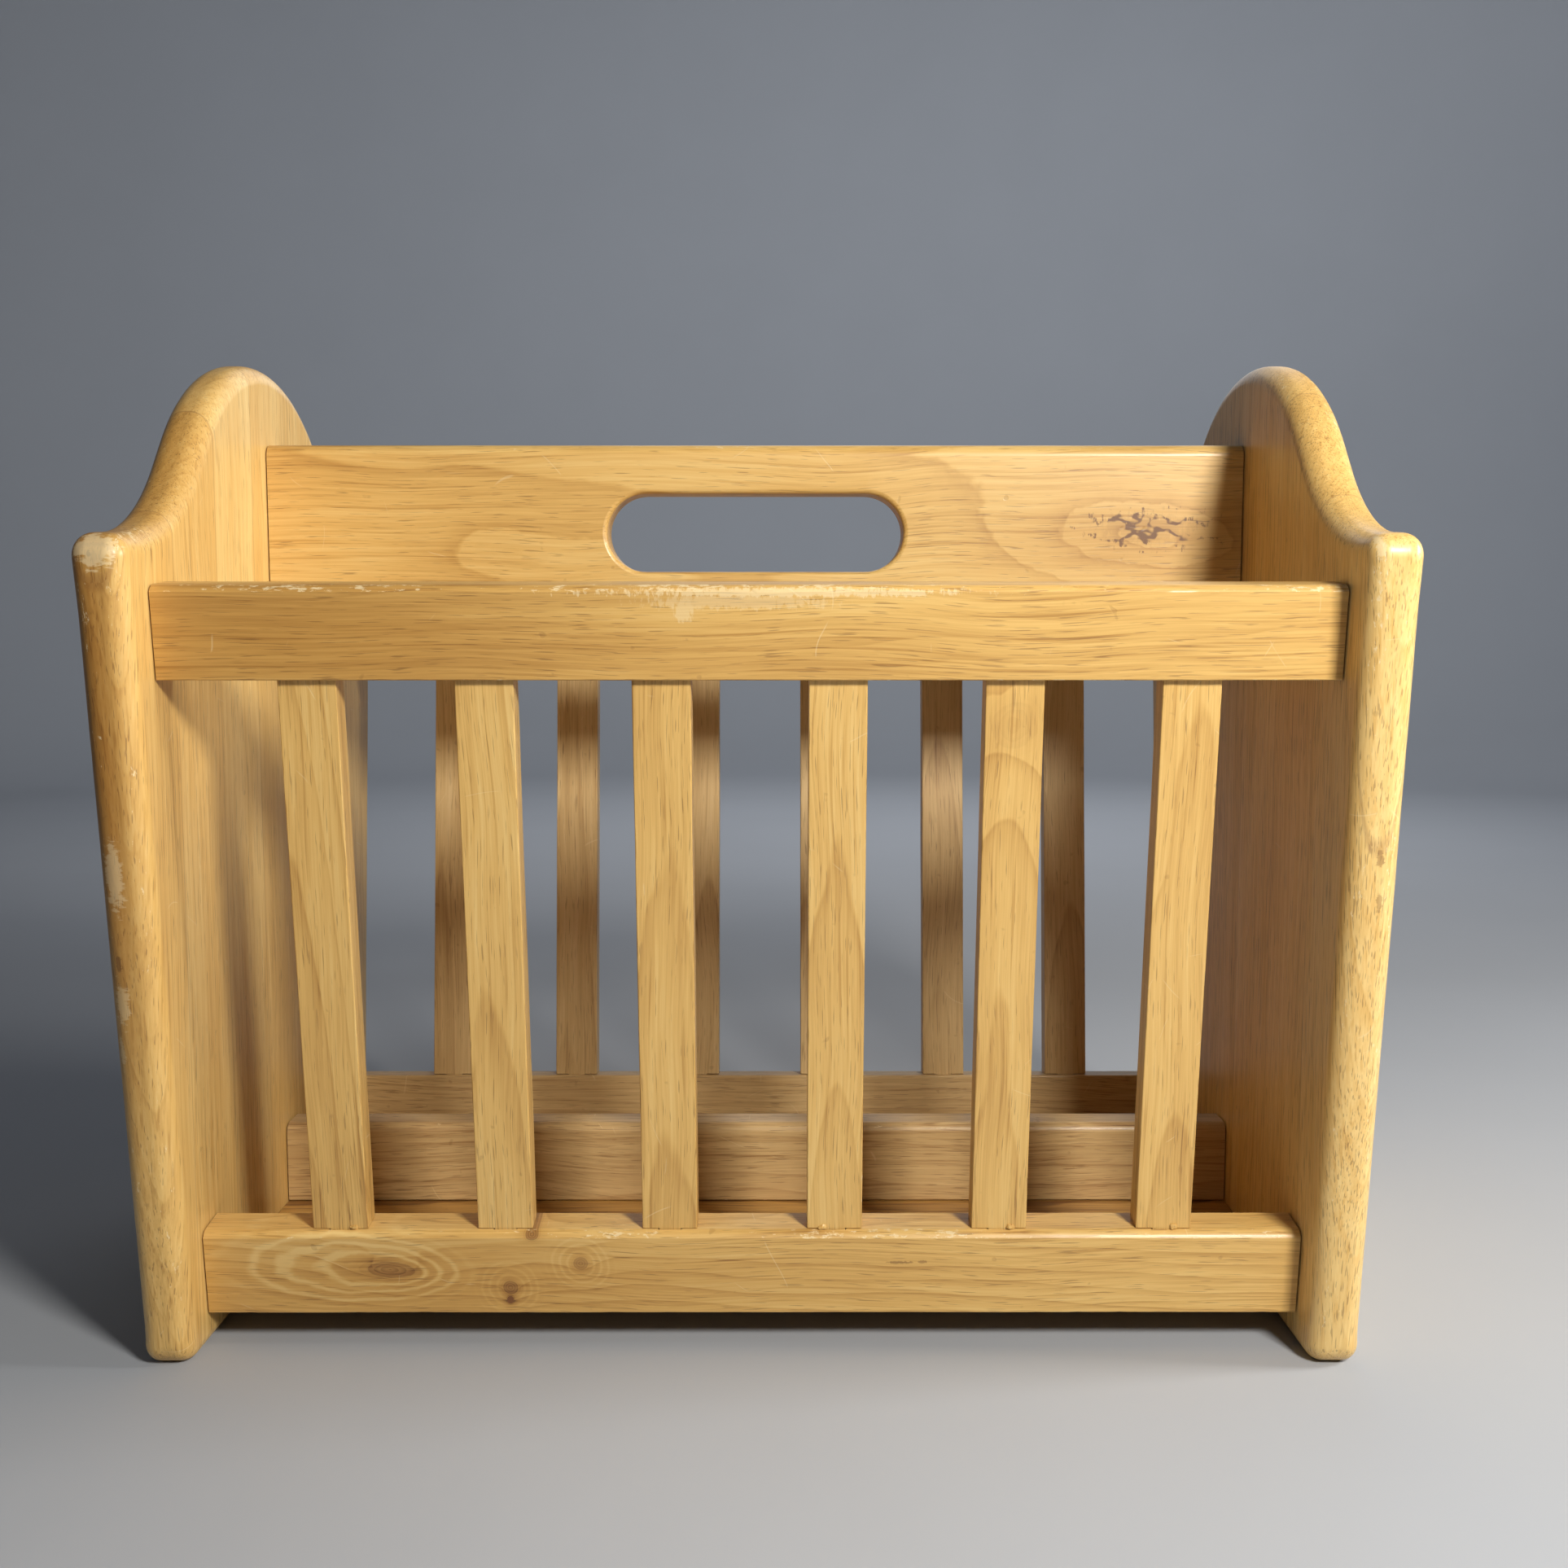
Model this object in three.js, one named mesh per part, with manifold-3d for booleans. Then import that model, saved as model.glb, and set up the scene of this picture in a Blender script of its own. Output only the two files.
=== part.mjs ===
// Magazine rack: two ogee-topped end panels joined by four leaning rails, with
// tenoned slats between the rails, a handle board, a lower centre board and a bottom board.
// Millimetres. X runs along the length, -Y is the front, Z is up, the feet stand on Z = 0.
import * as THREE from 'three';
import { mergeVertices } from 'three/addons/utils/BufferGeometryUtils.js';
import Module from 'manifold-3d';

const wasm = await Module();
wasm.setup();

// ---- driving sizes --------------------------------------------------------------------
const innerLength = 400; // clear length between the end panels
const fitGap = 0.3; // play left between pieces that touch
const leanAngle = THREE.MathUtils.degToRad(6.6); // lean of rails, slats and panel edges
const timberThickness = 18; // stock of the end panels and the two centre boards
const overReach = 2; // how far a cutter runs past the face it opens
const formerMargin = 0.15; // keeps the foot's shaping plate clear of the panel's own faces

const panelHeight = 370;
const footHalfDepth = 120.3; // half depth of the panel where its edges would meet the floor
const panelRound = 7.5; // round on every edge of the panel
const crownRadius = 101.5;
const flankLength = 14; // straight part between the two ogee arcs
const valleyRadius = 80;
const shoulderSlope = THREE.MathUtils.degToRad(5);
const shoulderInset = 13.3; // from the panel's edge in to where the shoulder starts
const shoulderRound = 9;
const footRound = 10; // corner of the foot, seen from the end
const soleEasing = 2.5; // smaller round along the long bottom edges

const railThickness = 16;
const railHeight = 32;
const railSetback = 18.1; // from the panel's front edge back to the rail's front face
const bottomRailLift = 13.4; // from floor to bottom rail, measured up the lean
const topRailDrop = 122.5; // from the panel's top to the top rail's underside
const railArrisDrop = 2.2; // where the top round meets the front face, below the top
const railArrisRadius = 4;
const railBackRound = 1;
const railBottomArris = 0.6;

const slatCount = 6;
const slatWidth = 20;
const slatThickness = 10;
const slatSpacing = (innerLength + slatWidth) / (slatCount + 1); // equal clear gaps, panels included
const slatArris = 0.4;
const tenonWidth = 8;
const tenonLength = 10;
const mortiseDepth = tenonLength + 1;

const handleDrop = 31.2; // from the panel's top to the handle board's top
const handleHeight = 78;
const handleRound = 5;
const handHoleLength = 121.5; // of the bore, inside its rounded rims
const handHoleHeight = 31.7;
const handHoleDrop = 35.8; // from the top of the board to the middle of the hole
const handHoleRound = 2;

const bottomBoardThickness = 6;
const bottomBoardLift = 1.2; // from the bottom rails' underside to the board's
const rebateDepth = 9; // how far the bottom board reaches in under each bottom rail
const bottomBoardArris = 0.5;

const centreBoardHeight = 33.5;
const centreBoardRound = 4;
const boardBottomArris = 0.8;

const railDowelCover = 6; // panel wood left beyond a rail's dowel
const boardDowelCover = 4;
const railDowel = { diameter: 6, length: 2 * (timberThickness - railDowelCover) };
const boardDowel = { diameter: 8, length: 2 * (timberThickness - boardDowelCover) };
const railDowelInsets = { lower: 11.2, upper: 7.2 }; // in from the rail's bottom and top
const handleDowelInsets = { lower: 18, upper: 19 }; // in from the board's bottom and top
const dowelChamfer = 0.8;
const dowelEndRoom = 1; // air left at each end of a dowel

const pin = { shank: 1.8, head: 3.6, headHeight: 0.8, length: 18 };
const pinSpots = [-2, 0, 2]; // in slat spacings from the middle
const screw = { shank: 3.4, head: 7, rim: 0.4, headHeight: 2.2, length: 26 };
const screwSpots = [-2, 2];

// ---- worked out from the sizes above ---------------------------------------------------
const railPlaneFoot = footHalfDepth - railSetback / Math.cos(leanAngle);
const pieceLength = innerLength - 2 * fitGap; // of everything that stands between the panels
const slatCentres = Array.from({ length: slatCount }, (_, i) => (i - (slatCount - 1) / 2) * slatSpacing);
const topRailLift = panelHeight - topRailDrop;
const handleTop = panelHeight - handleDrop;
const bottomBoardBase = bottomRailLift + bottomBoardLift;
const bottomBoardTop = bottomBoardBase + bottomBoardThickness;
const centreBoardBase = bottomBoardTop + fitGap;

// ---- geometry helpers ------------------------------------------------------------------
function solid(geometry) {
  const bare = geometry.clone();
  bare.deleteAttribute('normal');
  bare.deleteAttribute('uv');
  const merged = mergeVertices(bare, 1e-4);
  const vertProperties = new Float32Array(merged.attributes.position.array);
  const triVerts = new Uint32Array(merged.index.array);
  return new wasm.Manifold(new wasm.Mesh({ numProp: 3, vertProperties, triVerts }));
}

function toGeometry(manifold) {
  const mesh = manifold.getMesh();
  const geometry = new THREE.BufferGeometry();
  geometry.setAttribute('position', new THREE.BufferAttribute(new Float32Array(mesh.vertProperties), 3));
  geometry.setIndex(new THREE.BufferAttribute(new Uint32Array(mesh.triVerts), 1));
  geometry.computeVertexNormals();
  return geometry;
}

// Takes world-placed cutters away from a piece whose own frame is set by its placement.
function cut(geometry, placement, cutters) {
  const toPiece = placement.clone().invert();
  let result = solid(geometry);
  for (const cutter of cutters) {
    result = result.subtract(solid(cutter.clone().applyMatrix4(toPiece)));
  }
  return toGeometry(result);
}

// Turns a shape drawn in (y, z) and extruded so that it runs along X.
function depthHeightLength() {
  return new THREE.Matrix4().makeBasis(
    new THREE.Vector3(0, 1, 0),
    new THREE.Vector3(0, 0, 1),
    new THREE.Vector3(1, 0, 0),
  );
}

// A profile drawn in (y, z) and run along X, centred on X = 0.
function alongLength(profile, length) {
  const options = { depth: length, bevelEnabled: false, curveSegments: 6 };
  const geometry = new THREE.ExtrudeGeometry(profile, options).applyMatrix4(depthHeightLength());
  geometry.translate(-length / 2, 0, 0);
  return geometry;
}

// A front view drawn in (x, z) and given a thickness along Y, centred on Y = 0.
function throughDepth(shape, thickness, edge, segments) {
  const geometry = new THREE.ExtrudeGeometry(shape, {
    depth: thickness - 2 * edge,
    bevelEnabled: edge > 0,
    bevelThickness: edge,
    bevelSize: edge,
    bevelOffset: -edge,
    bevelSegments: segments,
    curveSegments: 10,
  });
  geometry.translate(0, 0, edge - thickness / 2);
  geometry.rotateX(Math.PI / 2);
  return geometry;
}

function rodAlongX(diameter, length, sides) {
  return new THREE.CylinderGeometry(diameter / 2, diameter / 2, length, sides).rotateZ(Math.PI / 2);
}

function rodAlongZ(diameter, length, sides) {
  return new THREE.CylinderGeometry(diameter / 2, diameter / 2, length, sides).rotateX(Math.PI / 2);
}

// ---- where the leaning front frame stands; the back frame is the same turned half round ----
function framePlacement(side) {
  const lean = new THREE.Matrix4().makeRotationX(leanAngle);
  const stand = new THREE.Matrix4().makeTranslation(0, -railPlaneFoot, 0);
  const turn = new THREE.Matrix4().makeRotationZ(side === 'back' ? Math.PI : 0);
  return turn.multiply(stand).multiply(lean);
}

function inFrame(side, x, y, z) {
  const ownX = side === 'back' ? -x : x;
  return framePlacement(side).multiply(new THREE.Matrix4().makeTranslation(ownX, y, z));
}

// ---- finishes --------------------------------------------------------------------------
const finish = {
  panel: { color: 0xe0b468, roughness: 0.42, metalness: 0 },
  rail: { color: 0xd9a75e, roughness: 0.42, metalness: 0 },
  slat: { color: 0xdcb06e, roughness: 0.46, metalness: 0 },
  board: { color: 0xd8aa64, roughness: 0.42, metalness: 0 },
  floor: { color: 0xa87f4c, roughness: 0.5, metalness: 0 },
  dowel: { color: 0xcfae7c, roughness: 0.7, metalness: 0 },
  steel: { color: 0xb4b4ae, roughness: 0.35, metalness: 1 },
};

const rack = new THREE.Group();
rack.name = 'magazine_rack';

function place(name, geometry, look, placement = new THREE.Matrix4()) {
  const mesh = new THREE.Mesh(geometry, new THREE.MeshStandardMaterial(finish[look]));
  mesh.name = name;
  mesh.applyMatrix4(placement);
  rack.add(mesh);
}

// ---- dowels: every one drills a hole in the panel and one in the piece it carries ---------
const dowelJoints = [];

function addDowelPair(piece, size, label, y, z) {
  for (const end of ['left', 'right']) {
    const sign = end === 'left' ? -1 : 1;
    const name = label ? `dowel_${piece}_${end}_${label}` : `dowel_${piece}_${end}`;
    dowelJoints.push({ name, piece, end, size, x: (sign * innerLength) / 2, y, z });
  }
}

for (const side of ['front', 'back']) {
  for (const [level, lift] of [['top', topRailLift], ['bottom', bottomRailLift]]) {
    const heights = { lower: railDowelInsets.lower, upper: railHeight - railDowelInsets.upper };
    for (const [label, height] of Object.entries(heights)) {
      const middle = inFrame(side, 0, railThickness / 2, lift + height);
      const spot = new THREE.Vector3().setFromMatrixPosition(middle);
      addDowelPair(`${side}_${level}_rail`, railDowel, label, spot.y, spot.z);
    }
  }
}
addDowelPair('handle_board', boardDowel, 'upper', 0, handleTop - handleDowelInsets.upper);
addDowelPair('handle_board', boardDowel, 'lower', 0, handleTop - handleHeight + handleDowelInsets.lower);
addDowelPair('centre_board', boardDowel, '', 0, centreBoardBase + centreBoardHeight / 2);

function dowelGeometry({ diameter, length }) {
  const r = diameter / 2;
  const half = length / 2;
  const profile = [
    new THREE.Vector2(0, -half),
    new THREE.Vector2(r - dowelChamfer, -half),
    new THREE.Vector2(r, dowelChamfer - half),
    new THREE.Vector2(r, half - dowelChamfer),
    new THREE.Vector2(r - dowelChamfer, half),
    new THREE.Vector2(0, half),
  ];
  return new THREE.LatheGeometry(profile, 12).rotateZ(Math.PI / 2);
}

function dowelHole({ size, x, y, z }) {
  const hole = rodAlongX(size.diameter + 2 * fitGap, size.length + 2 * dowelEndRoom, 16);
  return hole.translate(x, y, z);
}

function holesFor(test) {
  return dowelJoints.filter(test).map(dowelHole);
}

// ---- end panels ------------------------------------------------------------------------
// The steepest slope of the ogee, which lets its two arcs and the flank reach the shoulder. The panel
// is deeper the higher its shoulder stands, so the slope is found in a few steps.
function ogeeFlankAngle() {
  const arcs = crownRadius + valleyRadius;
  const arcsTop = panelHeight - crownRadius - valleyRadius * Math.cos(shoulderSlope);
  let angle = 0;
  for (let step = 0; step < 12; step++) {
    const shoulderHeight = arcsTop + arcs * Math.cos(angle) - flankLength * Math.sin(angle);
    const shoulderReach = footHalfDepth + Math.tan(leanAngle) * shoulderHeight - shoulderInset;
    const arcsReach = shoulderReach + valleyRadius * Math.sin(shoulderSlope);
    angle = Math.asin(arcsReach / Math.hypot(arcs, flankLength)) - Math.atan2(flankLength, arcs);
  }
  return angle;
}

// The side view's front half: crown, flank, valley, shoulder, then down the leaning edge to below the floor.
function ogeeOutline() {
  const half = new THREE.Path();
  const flankAngle = ogeeFlankAngle();
  const crownCentre = new THREE.Vector2(0, panelHeight - crownRadius);
  const flankTop = new THREE.Vector2(
    crownRadius * Math.sin(flankAngle),
    crownCentre.y + crownRadius * Math.cos(flankAngle),
  );
  const flankFoot = new THREE.Vector2(
    flankTop.x + flankLength * Math.cos(flankAngle),
    flankTop.y - flankLength * Math.sin(flankAngle),
  );
  const valleyCentre = new THREE.Vector2(
    flankFoot.x + valleyRadius * Math.sin(flankAngle),
    flankFoot.y + valleyRadius * Math.cos(flankAngle),
  );
  const shoulderStart = new THREE.Vector2(
    valleyCentre.x - valleyRadius * Math.sin(shoulderSlope),
    valleyCentre.y - valleyRadius * Math.cos(shoulderSlope),
  );
  // The shoulder's round touches the sloping shoulder and the leaning edge.
  const edgeSlope = Math.tan(leanAngle);
  const shoulderFall = Math.tan(shoulderSlope);
  const shoulderDip = shoulderRound / Math.cos(shoulderSlope);
  const shoulderLine = shoulderStart.y + shoulderFall * shoulderStart.x - shoulderDip;
  const edgeLine = footHalfDepth - shoulderRound / Math.cos(leanAngle);
  const shoulderZ = (shoulderLine - shoulderFall * edgeLine) / (1 + shoulderFall * edgeSlope);
  const shoulderCentre = new THREE.Vector2(edgeLine + edgeSlope * shoulderZ, shoulderZ);
  const quarter = Math.PI / 2;
  half.moveTo(0, panelHeight);
  half.absarc(crownCentre.x, crownCentre.y, crownRadius, quarter, quarter - flankAngle, true);
  const valleyEnd = -quarter - shoulderSlope;
  half.absarc(valleyCentre.x, valleyCentre.y, valleyRadius, -quarter - flankAngle, valleyEnd, false);
  half.absarc(shoulderCentre.x, shoulderCentre.y, shoulderRound, quarter - shoulderSlope, -leanAngle, true);
  half.lineTo(footHalfDepth - edgeSlope * footRound, -footRound);
  return half;
}

function sampledHalf() {
  const counts = [9, 1, 9, 1, 6, 1];
  const points = [];
  ogeeOutline().curves.forEach((curve, i) => {
    for (const point of curve.getPoints(counts[i] ?? 1)) {
      const last = points[points.length - 1];
      if (!last || last.distanceTo(point) > 1e-3) points.push(point);
    }
  });
  return points;
}

// A side view drawn in (y, z), given a thickness along X and a quarter round on all its edges.
function roundedPlate(outline, thickness, round, segments) {
  const geometry = new THREE.ExtrudeGeometry(outline, {
    depth: thickness - 2 * round,
    bevelEnabled: true,
    bevelThickness: round,
    bevelSize: round,
    bevelOffset: -round,
    bevelSegments: segments,
  });
  geometry.translate(0, 0, round - thickness / 2);
  return geometry.applyMatrix4(depthHeightLength());
}

// What the foot is shaped to: a tall plate with rounded bottom corners and a lightly eased sole.
function footFormer() {
  const edgeSlope = Math.tan(leanAngle);
  const quarter = Math.PI / 2;
  const reach = footHalfDepth + formerMargin;
  const centreY = reach + edgeSlope * footRound - footRound / Math.cos(leanAngle);
  const top = panelHeight + footRound;
  const former = new THREE.Shape();
  former.moveTo(reach + edgeSlope * top, top);
  former.lineTo(-reach - edgeSlope * top, top);
  former.absarc(-centreY, footRound, footRound, 2 * quarter + leanAngle, 3 * quarter, false);
  former.absarc(centreY, footRound, footRound, 3 * quarter, 4 * quarter - leanAngle, false);
  const outline = new THREE.Shape(former.getPoints(5));
  return roundedPlate(outline, timberThickness + 2 * formerMargin, soleEasing, 3);
}

function panelGeometry() {
  const half = sampledHalf();
  const mirrored = half
    .slice(1)
    .reverse()
    .map((p) => new THREE.Vector2(-p.x, p.y));
  const outline = new THREE.Shape([...half, ...mirrored]);
  const round = Math.min(panelRound, 0.45 * timberThickness);
  const plate = roundedPlate(outline, timberThickness, round, 6);
  return toGeometry(solid(plate).intersect(solid(footFormer())));
}

function buildPanel(end) {
  const sign = end === 'left' ? -1 : 1;
  const placement = new THREE.Matrix4().makeTranslation((sign * (innerLength + timberThickness)) / 2, 0, 0);
  const holes = holesFor((joint) => joint.end === end);
  place(`end_panel_${end}`, cut(panelGeometry(), placement, holes), 'panel', placement);
}

// ---- rails -----------------------------------------------------------------------------
function railProfile() {
  const drop = railArrisRadius - railArrisDrop;
  const sweep = Math.acos(drop / railArrisRadius);
  const reach = railArrisRadius * Math.sin(sweep);
  const quarter = Math.PI / 2;
  const profile = new THREE.Shape();
  profile.moveTo(railBottomArris, 0);
  profile.lineTo(railThickness - railBottomArris, 0);
  profile.lineTo(railThickness, railBottomArris);
  profile.lineTo(railThickness, railHeight - railBackRound);
  profile.absarc(railThickness - railBackRound, railHeight - railBackRound, railBackRound, 0, quarter, false);
  profile.lineTo(reach, railHeight);
  profile.absarc(reach, railHeight - railArrisRadius, railArrisRadius, quarter, quarter + sweep, false);
  profile.lineTo(0, railBottomArris);
  return profile;
}

// A mortise sits over the rail's own surface: in its top for the bottom rail, in its bottom for the top one.
function mortise(side, level, x) {
  const size = [tenonWidth + 2 * fitGap, slatThickness + 2 * fitGap, mortiseDepth + overReach];
  const middle =
    level === 'top'
      ? topRailLift + (mortiseDepth - overReach) / 2
      : bottomRailLift + railHeight - (mortiseDepth - overReach) / 2;
  return new THREE.BoxGeometry(...size).applyMatrix4(inFrame(side, x, railThickness / 2, middle));
}

function rebateEdge() {
  const middle = (bottomBoardTop + bottomBoardBase) / 2;
  const railBack = railPlaneFoot + Math.tan(leanAngle) * middle - railThickness / Math.cos(leanAngle);
  return railBack + rebateDepth;
}

function rebate(side) {
  const sign = side === 'front' ? -1 : 1;
  const top = bottomBoardTop + fitGap;
  const outer = rebateEdge() + fitGap;
  const cutter = new THREE.BoxGeometry(innerLength, 2 * rebateDepth, top + overReach);
  return cutter.translate(0, sign * (outer - rebateDepth), (top - overReach) / 2);
}

function pinPlaces(side) {
  const sign = side === 'front' ? -1 : 1;
  return pinSpots.map((spot) => ({ x: spot * slatSpacing, y: sign * (rebateEdge() - rebateDepth / 2) }));
}

function pinHole({ x, y }) {
  const length = pin.length + fitGap + overReach;
  return rodAlongZ(pin.shank + 2 * fitGap, length, 12).translate(
    x,
    y,
    bottomBoardBase + pin.length + fitGap - length / 2,
  );
}

function buildRail(side, level) {
  const name = `${side}_${level}_rail`;
  const lift = level === 'top' ? topRailLift : bottomRailLift;
  const placement = inFrame(side, 0, 0, lift);
  const cutters = slatCentres.map((x) => mortise(side, level, x));
  cutters.push(...holesFor((joint) => joint.piece === name));
  if (level === 'bottom') {
    cutters.push(rebate(side), ...pinPlaces(side).map(pinHole));
  }
  place(name, cut(alongLength(railProfile(), pieceLength), placement, cutters), 'rail', placement);
}

// ---- slats -----------------------------------------------------------------------------
function slatGeometry() {
  const bodyTop = topRailLift - bottomRailLift - railHeight - fitGap;
  const bodyBase = fitGap;
  const halfBody = slatWidth / 2;
  const halfTenon = tenonWidth / 2;
  const outline = new THREE.Shape([
    new THREE.Vector2(-halfTenon, bodyBase - tenonLength),
    new THREE.Vector2(halfTenon, bodyBase - tenonLength),
    new THREE.Vector2(halfTenon, bodyBase),
    new THREE.Vector2(halfBody, bodyBase),
    new THREE.Vector2(halfBody, bodyTop),
    new THREE.Vector2(halfTenon, bodyTop),
    new THREE.Vector2(halfTenon, bodyTop + tenonLength),
    new THREE.Vector2(-halfTenon, bodyTop + tenonLength),
    new THREE.Vector2(-halfTenon, bodyTop),
    new THREE.Vector2(-halfBody, bodyTop),
    new THREE.Vector2(-halfBody, bodyBase),
    new THREE.Vector2(-halfTenon, bodyBase),
  ]);
  return throughDepth(outline, slatThickness, slatArris, 1);
}

function buildSlats(side) {
  slatCentres.forEach((x, i) => {
    const placement = inFrame(side, x, railThickness / 2, bottomRailLift + railHeight);
    place(`${side}_slat_${i + 1}`, slatGeometry(), 'slat', placement);
  });
}

// ---- centre boards ---------------------------------------------------------------------
function boardProfile(height, round) {
  const half = timberThickness / 2;
  const quarter = Math.PI / 2;
  const profile = new THREE.Shape();
  profile.moveTo(boardBottomArris - half, 0);
  profile.lineTo(half - boardBottomArris, 0);
  profile.lineTo(half, boardBottomArris);
  profile.lineTo(half, height - round);
  profile.absarc(half - round, height - round, round, 0, quarter, false);
  profile.lineTo(round - half, height);
  profile.absarc(round - half, height - round, round, quarter, 2 * quarter, false);
  profile.lineTo(-half, boardBottomArris);
  return profile;
}

function stadium(length, height, centreZ) {
  const r = height / 2;
  const reach = length / 2 - r;
  const quarter = Math.PI / 2;
  const path = new THREE.Path();
  path.moveTo(-reach, centreZ - r);
  path.lineTo(reach, centreZ - r);
  path.absarc(reach, centreZ, r, -quarter, quarter, false);
  path.lineTo(-reach, centreZ + r);
  path.absarc(-reach, centreZ, r, quarter, 3 * quarter, false);
  return path;
}

function buildHandleBoard() {
  const placement = new THREE.Matrix4().makeTranslation(0, 0, handleTop - handleHeight);
  const bar = solid(alongLength(boardProfile(handleHeight, handleRound), pieceLength));
  const margin = 4 * handHoleRound;
  const halfLength = innerLength / 2 + margin;
  const sheet = new THREE.Shape([
    new THREE.Vector2(-halfLength, -margin),
    new THREE.Vector2(halfLength, -margin),
    new THREE.Vector2(halfLength, handleHeight + margin),
    new THREE.Vector2(-halfLength, handleHeight + margin),
  ]);
  const holeZ = handleHeight - handHoleDrop;
  sheet.holes.push(stadium(handHoleLength, handHoleHeight, holeZ));
  const holed = solid(throughDepth(sheet, timberThickness, handHoleRound, 3));
  const board = toGeometry(bar.intersect(holed));
  const holes = holesFor((joint) => joint.piece === 'handle_board');
  place('handle_board', cut(board, placement, holes), 'board', placement);
}

function screwPlaces() {
  return screwSpots.map((spot) => spot * slatSpacing);
}

function countersinkProfile(room) {
  const { shank, head, rim, headHeight, length } = screw;
  return [
    new THREE.Vector2(0, 0),
    new THREE.Vector2(head / 2 + room, 0),
    new THREE.Vector2(head / 2 + room, rim + room),
    new THREE.Vector2(shank / 2 + room, headHeight + room),
    new THREE.Vector2(shank / 2 + room, length - shank + room),
    new THREE.Vector2(0, length + room),
  ];
}

function screwHole(x) {
  const cutter = new THREE.LatheGeometry(countersinkProfile(fitGap), 12).rotateX(Math.PI / 2);
  return cutter.translate(x, 0, bottomBoardBase);
}

function buildCentreBoard() {
  const placement = new THREE.Matrix4().makeTranslation(0, 0, centreBoardBase);
  const cutters = holesFor((joint) => joint.piece === 'centre_board');
  cutters.push(...screwPlaces().map(screwHole));
  const bar = alongLength(boardProfile(centreBoardHeight, centreBoardRound), pieceLength);
  place('lower_centre_board', cut(bar, placement, cutters), 'board', placement);
}

// ---- bottom board ----------------------------------------------------------------------
function buildBottomBoard() {
  const halfWidth = rebateEdge();
  const a = bottomBoardArris;
  const t = bottomBoardThickness;
  const profile = new THREE.Shape([
    new THREE.Vector2(a - halfWidth, 0),
    new THREE.Vector2(halfWidth - a, 0),
    new THREE.Vector2(halfWidth, a),
    new THREE.Vector2(halfWidth, t - a),
    new THREE.Vector2(halfWidth - a, t),
    new THREE.Vector2(a - halfWidth, t),
    new THREE.Vector2(-halfWidth, t - a),
    new THREE.Vector2(-halfWidth, a),
  ]);
  const placement = new THREE.Matrix4().makeTranslation(0, 0, bottomBoardBase);
  const cutters = [];
  for (const side of ['front', 'back']) {
    for (const spot of pinPlaces(side)) {
      const seat = rodAlongZ(pin.head + 2 * fitGap, 2 * (pin.headHeight + fitGap), 12);
      cutters.push(pinHole(spot), seat.translate(spot.x, spot.y, bottomBoardBase));
    }
  }
  for (const x of screwPlaces()) {
    const mouth = rodAlongZ(screw.head + 2 * fitGap, overReach, 12);
    cutters.push(screwHole(x), mouth.translate(x, 0, bottomBoardBase - overReach / 2));
  }
  place('bottom_board', cut(alongLength(profile, pieceLength), placement, cutters), 'floor', placement);
}

// ---- fixings ---------------------------------------------------------------------------
function buildDowels() {
  for (const { name, size, x, y, z } of dowelJoints) {
    place(name, dowelGeometry(size), 'dowel', new THREE.Matrix4().makeTranslation(x, y, z));
  }
}

function pinGeometry() {
  const { shank, head, headHeight, length } = pin;
  const profile = [
    new THREE.Vector2(0, 0),
    new THREE.Vector2(head / 2, 0),
    new THREE.Vector2(head / 2, headHeight),
    new THREE.Vector2(shank / 2, headHeight),
    new THREE.Vector2(shank / 2, length - shank),
    new THREE.Vector2(0, length),
  ];
  return new THREE.LatheGeometry(profile, 10).rotateX(Math.PI / 2);
}

function buildPins() {
  for (const side of ['front', 'back']) {
    pinPlaces(side).forEach(({ x, y }, i) => {
      const placement = new THREE.Matrix4().makeTranslation(x, y, bottomBoardBase);
      place(`${side}_bottom_pin_${i + 1}`, pinGeometry(), 'steel', placement);
    });
  }
}

function buildScrews() {
  screwPlaces().forEach((x, i) => {
    const geometry = new THREE.LatheGeometry(countersinkProfile(0), 12).rotateX(Math.PI / 2);
    const placement = new THREE.Matrix4().makeTranslation(x, 0, bottomBoardBase);
    place(`centre_board_screw_${i + 1}`, geometry, 'steel', placement);
  });
}

// ---- assembly --------------------------------------------------------------------------
buildPanel('left');
buildPanel('right');
for (const side of ['front', 'back']) {
  buildRail(side, 'top');
  buildRail(side, 'bottom');
  buildSlats(side);
}
buildHandleBoard();
buildCentreBoard();
buildBottomBoard();
buildDowels();
buildPins();
buildScrews();

export default rack;
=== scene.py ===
"""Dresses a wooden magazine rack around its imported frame.

Metres. X runs along the rack, -Y is the front and Z is up. Each timber piece is shaped in its own
frame, where X runs along the grain, Y across the face and Z through the thickness, so that one set of
wood finishes fits them all.
"""

import logging
import math
from collections.abc import Callable, Iterable, Sequence
from dataclasses import dataclass, field, replace
from enum import Enum

import bmesh
import bpy
from mathutils import Matrix, Vector, noise


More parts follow.
